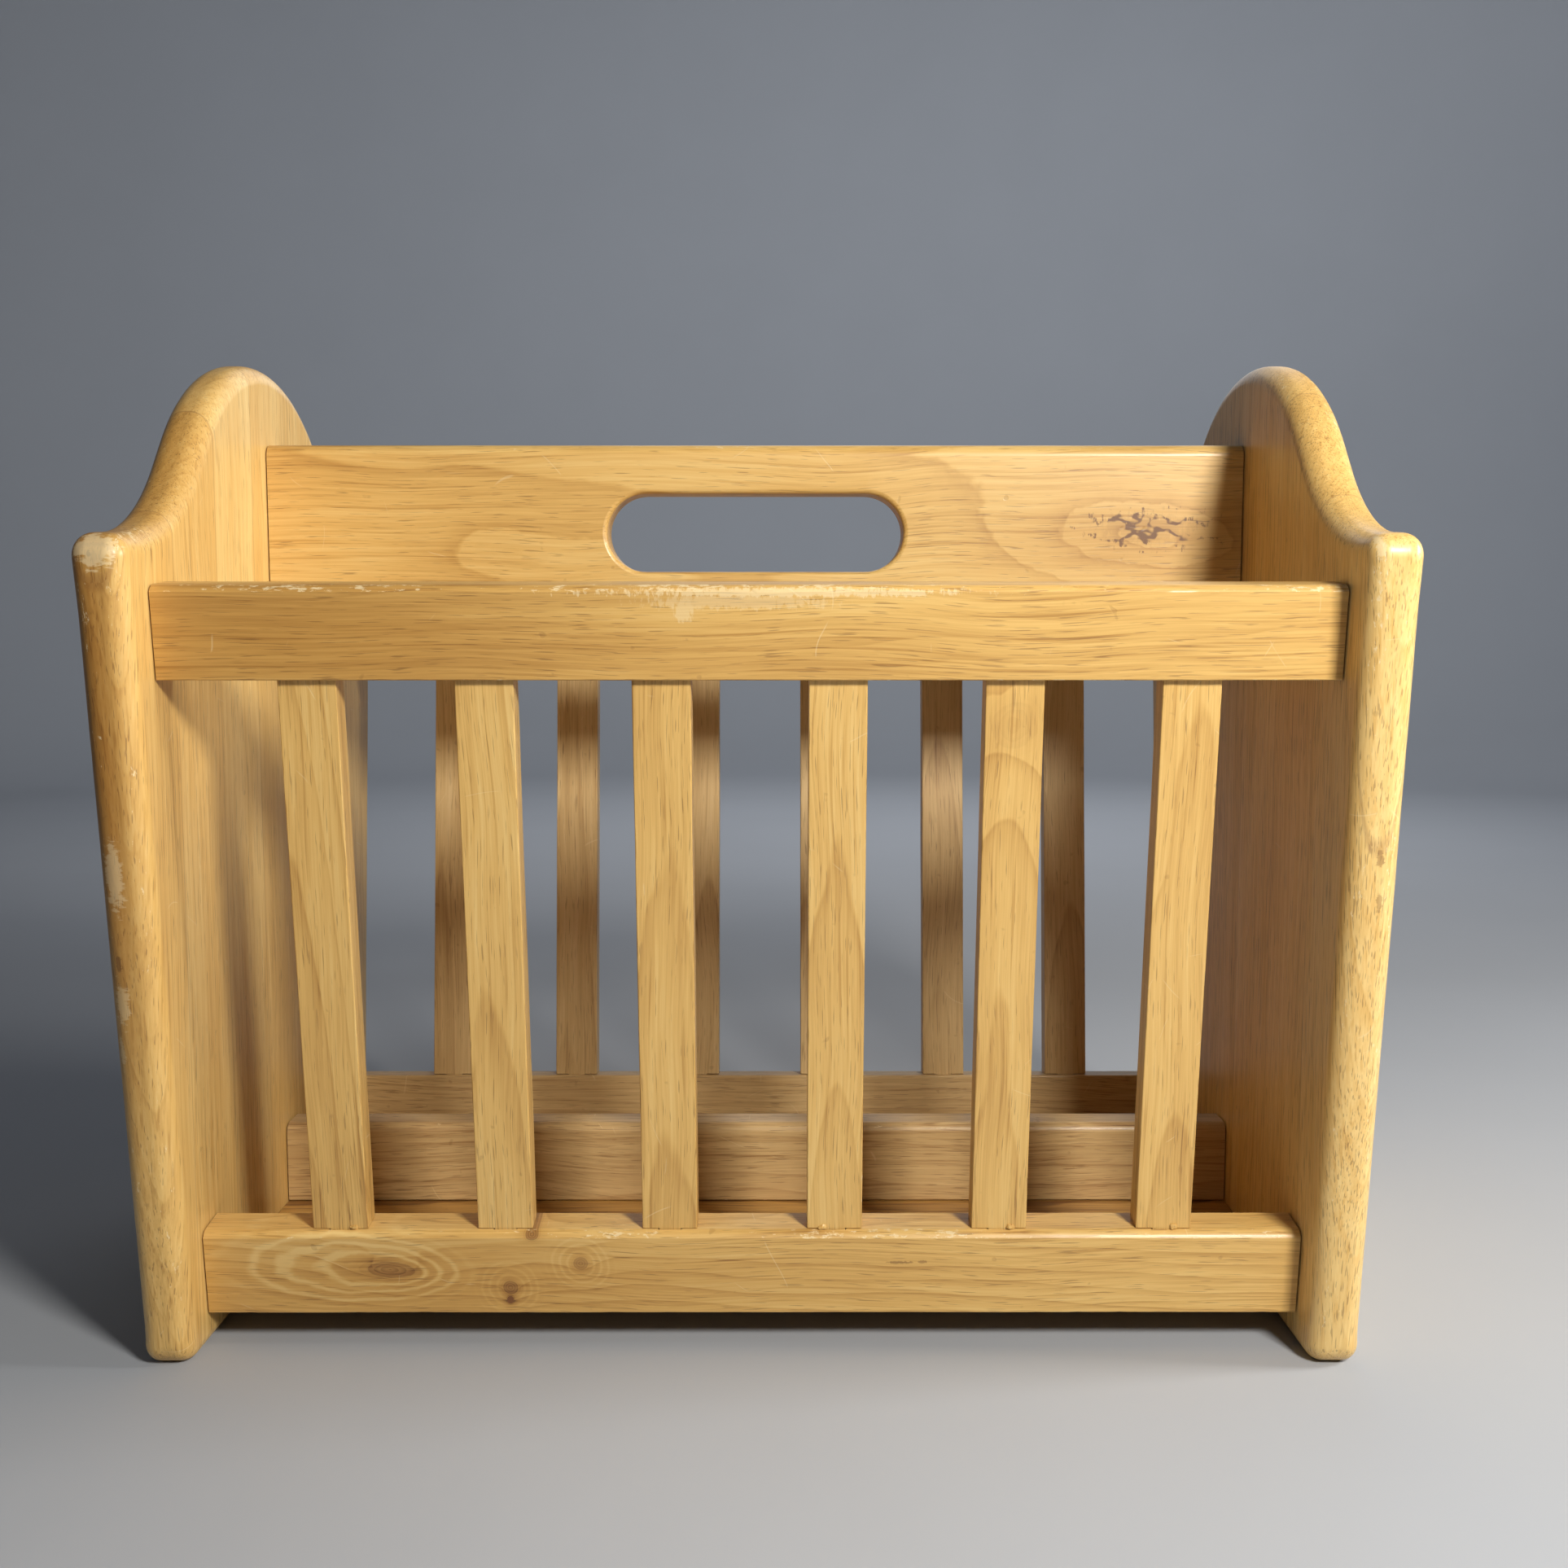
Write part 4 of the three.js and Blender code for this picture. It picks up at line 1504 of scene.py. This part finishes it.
    def mortise(self, level: Level, place: Matrix, x: float) -> bpy.types.Object:
        """A cutter for the mortise of one slat.

        Args:
            level: Which rail it goes in.
            place: The rail's placement.
            x: Middle of the slat, in the rack's frame.

        Returns:
            The cutter.
        """
        deep = self.tenon_length + BORE_ROOM
        own_x = x if self.side is Side.FRONT else -x
        half = self.tenon_width / 2 + FIT_GAP
        inset = (self.rail_thickness - self.slat_thickness) / 2 - FIT_GAP
        top = self.rail_height + self.bore_past if level is Level.BOTTOM else deep
        low = Vector((own_x - half, top - deep - self.bore_past, inset - self.rail_thickness))
        high = Vector((own_x + half, top, -inset))
        return block("mortise", low, high, place)

    def rebate(self, low: Vector, high: Vector) -> bpy.types.Object:
        """A cutter for the step that takes the bottom board.

        Args:
            low: The rail's lowest corner.
            high: Its highest corner.

        Returns:
            The cutter.
        """
        _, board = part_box("bottom_board")
        edge = board.y + FIT_GAP
        front = self.side is Side.FRONT
        start = Vector((low.x - self.run_out, -edge if front else 0.0, 0.0))
        stop = Vector((high.x + self.run_out, 0.0 if front else edge, board.z + FIT_GAP))
        return block("rebate", start, stop)

    def slat_rings(self, length: float) -> list[Ring]:
        """A slat with a stub tenon at each end, standing on X = 0.

        Args:
            length: Length between the shoulders.

        Returns:
            The rings.
        """
        def section(half_width: float, half_depth: float) -> Section:
            """A section with eased corners."""
            low, high = (-half_width, -half_depth), (half_width, half_depth)
            return bar_section(low, high, self.slat_arris, self.slat_arris)

        body = section(self.slat_width / 2, self.slat_thickness / 2)
        tenon = section(self.tenon_width / 2, self.slat_thickness / 2 - self.tenon_ease)
        rings = bar_rings(tenon, (-self.tenon_length, 0.0))
        rings += bar_rings(body, spread(0.0, length, self.slat_steps))
        rings += bar_rings(tenon, (length, length + self.tenon_length))
        return rings

    def build_slat(self, index: int, look: PieceLook) -> None:
        """Builds and dresses one slat.

        Args:
            index: Its number, from the left as the frame counts it.
            look: What is particular to it.
        """
        node = f"{self.side.value}_slat_{index}"
        low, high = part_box(node)
        bottom, top = self.rail_place(Level.BOTTOM), self.rail_place(Level.TOP)
        rise = (top.translation - bottom.translation).length - self.rail_height
        own_x = (low.x + high.x) / 2 * (1 if self.side is Side.FRONT else -1)
        base = bottom @ Vector((own_x, self.rail_height + FIT_GAP, -self.rail_thickness / 2))
        turn = bottom.to_3x3()
        grain, across, out = turn.col[1], -turn.col[0], turn.col[2]
        slat = loft(node, self.slat_rings(rise - 2 * FIT_GAP))
        hand_finish(slat, look.seed, self.slat_sway, self.slat_nick)
        slat.matrix_world = axes(grain, across, out, base)
        if self.side is Side.FRONT and index in self.glue_beads:
            at = Vector((0.5 * MM, -self.glue_beads[index], self.slat_thickness / 2))
            carve(slat, [self.glue_bead(slat.matrix_world @ at, index)], Work.JOIN)
        # The back slats get the copy of the finish with painted shade.
        finish = self.finish if self.side is Side.FRONT else PAINTED_SHADE_TIMBER
        fit(slat, node, finish.material(node, look, self.effects))

    def rail_looks(self) -> dict[Level, PieceLook]:
        """What is particular to each rail.

        Returns:
            A look for each level.
        """
        if self.side is Side.BACK:
            return {
                Level.TOP: PieceLook(seed=21.3, tone=0.02, heart=(60.0, -20.0)),
                Level.BOTTOM: PieceLook(seed=24.9, tone=0.05, heart=(-35.0, -10.0), density=1.4),
            }
        worn = (
            Mark(MarkKind.BARE, 12.0, 29.5, -1.0, (72.0, 1.8, 3.0), 0.75),
            Mark(MarkKind.BARE, -4.0, 26.5, 0.0, (34.0, 3.0, 2.0), 0.4),
            Mark(MarkKind.BARE, -22.0, 24.0, 0.0, (4.0, 5.0, 2.0), 0.5),
            # Painted shade: this mark darkens the left end of the rail's front face, where the light is
            # blocked.
            Mark(MarkKind.TONE_AND_PAINTED_SHADE, -150.0, 14.0, -2.0, (120.0, 36.0, 8.0), 0.95),
            Mark(MarkKind.TONE_AND_PAINTED_SHADE, -20.0, 6.0, 0.0, (120.0, 18.0, 3.0), 0.4),
        )
        knots = (
            Knot(-132.0, 17.4, 9.5, 3.4, 0.05, dark=0.5, pull=3.0, eye=0.44, skew=0.36),
            Knot(-88.4, 10.3, 3.0, 2.8, 0.3, dark=0.55, pull=1.2, eye=0.12),
            Knot(-88.6, 5.4, 1.4, 1.7, 0.0, dark=1.0, pull=0.3),
            Knot(-62.5, 19.9, 3.0, 2.8, 0.3, dark=0.4, pull=1.2, eye=0.16),
            Knot(-80.0, 31.0, 2.6, 2.0, 0.0, dark=0.6, pull=0.6),
        )
        dents = (
            Mark(MarkKind.STAIN, 54.0, 20.2, 0.0, (4.5, 0.7, 2.0), 0.5),
            Mark(MarkKind.STAIN, 62.0, 20.4, 0.0, (2.0, 0.6, 2.0), 0.5),
            Mark(MarkKind.TONE_AND_PAINTED_SHADE, -120.0, 14.0, 0.0, (120.0, 24.0, 1.5), 0.75),
            Mark(MarkKind.TONE_AND_PAINTED_SHADE, 10.0, 12.0, 0.0, (90.0, 16.0, 1.5), 0.3),
        )
        return {
            Level.TOP: PieceLook(
                seed=5.2, tone=0.08, heart=(55.0, -12.0), ring=6.5, drift=0.02, swirl=16.0,
                figure=0.5, density=1.3, wear=0.36, marks=worn,
            ),
            Level.BOTTOM: PieceLook(
                seed=11.8, tone=0.0, heart=(-14.0, -22.0), ring=4.6, drift=0.035, swirl=12.0,
                figure=1.1, knots=knots, marks=dents, wear=0.32,
            ),
        }

    def slat_looks(self) -> list[PieceLook]:
        """What is particular to each slat.

        Returns:
            The looks, left to right as the frame counts.
        """
        arch = Knot(186.0, 0.0, 9.0, 8.5, 0.0, dark=0.08, pull=2.2)
        fleck = Knot(150.0, 1.0, 2.2, 1.6, 0.2, dark=0.7, pull=0.8)
        knots = {(Side.FRONT, 4): (arch,), (Side.BACK, 3): (fleck,)}
        common = PieceLook(seed=0.0, ring=4.0, drift=0.03, swirl=6.0)
        looks = []
        for i, tone in enumerate((0.03, -0.05, 0.0, -0.03, 0.02, 0.0)):
            shift = 31.7 * (1 + i) + (0.0 if self.side is Side.FRONT else 401.0)
            heart = (noise.noise(Vector((shift, 0, 0))) * 40.0, -18.0 - 6.0 * (i % 3))
            own = knots.get((self.side, i), ())
            looks.append(replace(common, seed=shift % 17.0, tone=tone, heart=heart, knots=own))
        return looks

    def build(self) -> None:
        """Builds and dresses the whole side."""
        for level, look in self.rail_looks().items():
            self.build_rail(level, look)
        for index, look in enumerate(self.slat_looks(), start=1):
            self.build_slat(index, look)


# ---- boards -------------------------------------------------------------------------------------
@dataclass
class CentreBoards:
    """The handle board, the lower centre board and the bottom board."""

    effects: WoodEffects
    handle_round: float = 5.0 * MM
    centre_round: float = 4.0 * MM
    under_round: float = 0.8 * MM
    bore_length: float = 121.5 * MM
    bore_height: float = 31.7 * MM
    bore_drop: float = 35.8 * MM
    rim_round: float = 2.2 * MM
    rim_steps: int = 7
    bore_steps: int = 28
    top_steps: int = 7
    sway: float = 0.08 * MM
    nick: float = 0.3 * MM
    floor_arris: float = 0.5 * MM
    floor_steps: int = 60
    finish: TimberFinish = field(default_factory=TimberFinish)
    # Painted shade: the bottom board's finish is set much deeper in tone because the board lies in
    # shade inside the rack.
    floor_painted_shade_finish: TimberFinish = field(default_factory=lambda: TimberFinish(base_depth=0.76))

    def upright(self, node: str, top_round: float, stations: int) -> bpy.types.Object:
        """An upright board with rounded top corners.

        Args:
            node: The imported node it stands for.
            top_round: Radius of its top corners.
            stations: Number of steps along it.

        Returns:
            The board, in its place.
        """
        low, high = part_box(node)
        height, half = high.z - low.z, (high.y - low.y) / 2
        corners = ((0.0, -half), (height, half))
        section = bar_section(*corners, self.under_round, top_round, self.top_steps)
        places = spread(low.x + END_SEAM, high.x - END_SEAM, stations)
        board = loft(node, bar_rings(section, places))
        hand_finish(board, height * 100.0, self.sway, self.nick)
        board.matrix_world = axes((1, 0, 0), (0, 0, 1), (0, -1, 0), (0, 0, low.z))
        return board

    def hand_hole(self) -> bpy.types.Object:
        """A cutter for the hand hole, flared at both mouths.

        Returns:
            The cutter.
        """
        low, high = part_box("handle_board")
        half = (high.y - low.y) / 2
        middle = high.z - self.bore_drop
        reach = (self.bore_length - self.bore_height) / 2
        mouth = [
            (half - self.rim_round + self.rim_round * math.sin(a), self.rim_round * (1 - math.cos(a)))
            for a in spread(0.0, QUARTER, self.rim_steps)
        ]
        mouth[-1] = (half + 0.03 * MM, self.rim_round)
        mouth.append((half + 1.0 * MM, self.rim_round))
        profile = [(-y, flare) for y, flare in reversed(mouth)] + mouth
        rings = []
        for y, flare in profile:
            radius = self.bore_height / 2 + flare
            loop = arc((reach, middle), radius, -QUARTER, QUARTER, self.bore_steps)
            loop += arc((-reach, middle), radius, QUARTER, 3 * QUARTER, self.bore_steps)
            rings.append(Ring([Vector((px, y, pz)) for px, pz in loop], [0.5] * len(loop)))
        return loft("hand_hole", rings)

    def build(self) -> None:
        """Builds and dresses the boards."""
        self.build_handle()
        self.build_centre()
        self.build_bottom()

    def build_handle(self) -> None:
        """Builds the handle board."""
        marks = (
            Mark(MarkKind.TRACK, 163.0, 43.5, 9.0, (28.0, 9.0, 6.0), 1.0),
            Mark(MarkKind.STAIN, 160.0, 44.0, 9.0, (22.0, 7.0, 4.0), 0.12),
            Mark(MarkKind.TONE_AND_PAINTED_SHADE, 160.0, 40.0, 9.0, (66.0, 24.0, 9.0), 0.55),
        )
        knots = (
            Knot(162.0, 40.0, 30.0, 10.5, 0.1, dark=0.0, pull=3.9),
            Knot(-100.0, 34.0, 16.0, 7.0, 0.15, dark=0.03, pull=1.4),
        )
        look = PieceLook(
            seed=2.6, tone=-0.04, heart=(38.0, -60.0), ring=9.5, drift=0.012, swirl=14.0,
            figure=1.2, knots=knots, marks=marks, wear=0.28,
        )
        board = self.upright("handle_board", self.handle_round, 120)
        carve(board, [*dowel_bores("dowel_handle"), self.hand_hole()])
        material = self.finish.material("handle_board", look, self.effects)
        fit(board, "handle_board", material)

    def build_centre(self) -> None:
        """Builds the lower centre board."""
        look = PieceLook(seed=13.4, tone=0.1, heart=(-20.0, -30.0), ring=5.5, density=1.6, swirl=14.0)
        board = self.upright("lower_centre_board", self.centre_round, 110)
        carve(board, dowel_bores("dowel_centre"))
        # The centre board gets the copy of the finish with painted shade.
        material = PAINTED_SHADE_TIMBER.material("lower_centre_board", look, self.effects)
        fit(board, "lower_centre_board", material)

    def build_bottom(self) -> None:
        """Builds the bottom board."""
        low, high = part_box("bottom_board")
        corners = ((low.y, 0.0), (high.y, high.z - low.z))
        section = bar_section(*corners, self.floor_arris, self.floor_arris)
        stations = spread(low.x, high.x, self.floor_steps)
        board = loft("bottom_board", bar_rings(section, stations))
        look = PieceLook(seed=17.9, tone=0.0, heart=(10.0, -80.0), ring=9.0, swirl=20.0, wear=0.1)
        board.matrix_world = axes((1, 0, 0), (0, 1, 0), (0, 0, 1), (0, 0, low.z))
        # The bottom board gets its finish with painted shade.
        material = self.floor_painted_shade_finish.material("bottom_board", look, self.effects)
        fit(board, "bottom_board", material)


# ---- fixings that stay as packed ----------------------------------------------------------------
@dataclass
class Fixings:
    """Dowels, pins and screws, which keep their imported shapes."""

    effects: WoodEffects

    def build(self) -> None:
        """Dresses every fixing."""
        turned = TimberFinish(base_depth=0.3, gloss_roughness=0.62, coat=0.0)
        dowel = turned.material("bare_dowel", PieceLook(seed=6.1, wear=0.0), self.effects)
        steel = SteelFinish().material("plain_steel")
        for name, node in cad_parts.items():
            if name.startswith("dowel"):
                self.dress(node, dowel)
            elif "pin" in name or "screw" in name:
                self.dress(node, steel)

    def dress(self, node: bpy.types.Object, material: bpy.types.Material) -> None:
        """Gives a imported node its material.

        Args:
            node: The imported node.
            material: Its material.
        """
        node.data.materials.clear()
        node.data.materials.append(material)
        LOG.info("%s: dressed as packed", node.name)


# ---- the studio -------------------------------------------------------------------------------
@dataclass(frozen=True)
class SoftLight:
    """A soft square light: its side in metres, its power in watts and the point that it faces."""

    name: str
    place: Sequence[float]
    size: float
    power: float
    colour: Sequence[float]
    target: Sequence[float] = (0.0, 0.0, 0.18)

    def hang(self) -> None:
        """Hangs the light."""
        data = bpy.data.lights.new(self.name, "AREA")
        data.size = self.size
        data.energy = self.power
        data.color = self.colour
        light = add_object(self.name, data)
        light.location = self.place
        aim = Vector(self.target) - Vector(self.place)
        light.rotation_euler = aim.to_track_quat("-Z", "Y").to_euler()


@dataclass
class Studio:
    """A plain pale floor that curves up all round, soft lights and the camera."""

    floor_radius: float = 2.3
    floor_heart: float = 0.02
    curve_radius: float = 0.7
    wall_height: float = 2.6
    floor_steps: int = 8
    curve_steps: int = 14
    sides: int = 96
    floor_colour: Colour = (0.43, 0.45, 0.49, 1.0)
    floor_shade: float = 0.94
    floor_roughness: float = 0.85
    sky_colour: Colour = (0.72, 0.83, 1.0, 1.0)
    sky_strength: float = 0.06
    camera_place: tuple[float, float, float] = (0.01095, -0.65824, 0.26065)
    camera_pitch: float = math.radians(5.38)
    camera_yaw: float = math.radians(0.07)
    lens: float = 35.965
    sensor: float = 36.0
    nearest: float = 0.01
    lights: tuple[SoftLight, ...] = (
        SoftLight("key", (0.385, -0.72, 0.615), 0.15, 8.2, (1.0, 0.965, 0.89)),
        SoftLight("window", (1.2, -0.17, 0.64), 0.3, 11.0, (1.0, 0.98, 0.93)),
        SoftLight("fill", (-1.3, -1.3, 1.2), 1.2, 0.3, (0.93, 0.96, 1.0)),
        SoftLight("backdrop", (0.4, 1.0, 1.5), 0.9, 16.0, (0.94, 0.97, 1.0), (0.4, 2.9, 0.9)),
        SoftLight("back fill", (0.3, 1.6, 1.3), 1.2, 4.5, (0.97, 0.98, 1.0)),
    )

    def floor_profile(self) -> list[Point]:
        """The floor from its middle out and up the wall.

        Returns:
            Points as (outward, up).
        """
        width = self.floor_radius - self.floor_heart
        flat = [(self.floor_heart + width * i / self.floor_steps, 0.0) for i in range(self.floor_steps)]
        centre = (self.floor_radius, self.curve_radius)
        turn = arc(centre, self.curve_radius, -QUARTER, 0.0, self.curve_steps)
        return [*flat, *turn, (self.floor_radius + self.curve_radius, self.wall_height)]

    def build_floor(self) -> None:
        """Makes the floor as one turned surface."""
        profile = self.floor_profile()
        turns = [math.tau * k / self.sides for k in range(self.sides)]
        points = [(r * math.cos(a), r * math.sin(a), z) for r, z in profile for a in turns]
        faces = [tuple(range(self.sides)), *band_faces(len(profile), self.sides)]
        mesh = bpy.data.meshes.new("studio_floor")
        mesh.from_pydata(points, [], faces)
        mesh.polygons.foreach_set("use_smooth", [True] * len(mesh.polygons))
        floor = add_object("studio_floor", mesh)
        material, s, shader = new_material("pale_floor")
        cloud = s.noise(s.put("TexCoord").outputs["Object"], Waves.FLOOR_CLOUD)
        darker = tuple(self.floor_shade * c for c in self.floor_colour[:3]) + (1.0,)
        s.feed(shader["Base Color"], s.mix(cloud, self.floor_colour, darker))
        shader["Roughness"].default_value = self.floor_roughness
        mesh.materials.append(material)

    def build_camera(self) -> None:
        """Places the camera."""
        data = bpy.data.cameras.new("camera")
        data.lens = self.lens
        data.sensor_width = self.sensor
        data.clip_start = self.nearest
        camera = add_object("camera", data)
        camera.location = self.camera_place
        camera.rotation_euler = (QUARTER - self.camera_pitch, 0.0, -self.camera_yaw)
        bpy.context.scene.camera = camera

    def build_sky(self) -> None:
        """Sets the faint light from all round and shows colours as they are mixed."""
        world = bpy.data.worlds.new("surroundings")
        world.use_nodes = True
        sky = world.node_tree.nodes["Background"]
        sky.inputs["Color"].default_value = self.sky_colour
        sky.inputs["Strength"].default_value = self.sky_strength
        bpy.context.scene.world = world
        bpy.context.scene.view_settings.view_transform = "Standard"

    def build(self) -> None:
        """Sets up the floor, the camera, the lights and the surroundings."""
        self.build_floor()
        self.build_camera()
        for light in self.lights:
            light.hang()
        self.build_sky()


def main() -> None:
    """Builds the studio, then every sub-assembly in order."""
    logging.basicConfig(level=logging.INFO, format="%(message)s")
    Studio().build()
    effects = WoodEffects()
    EndPanels(effects).build()
    for side in Side:
        LeaningSide(effects, side).build()
    CentreBoards(effects).build()
    Fixings(effects).build()


if __name__ == "__main__":
    main()
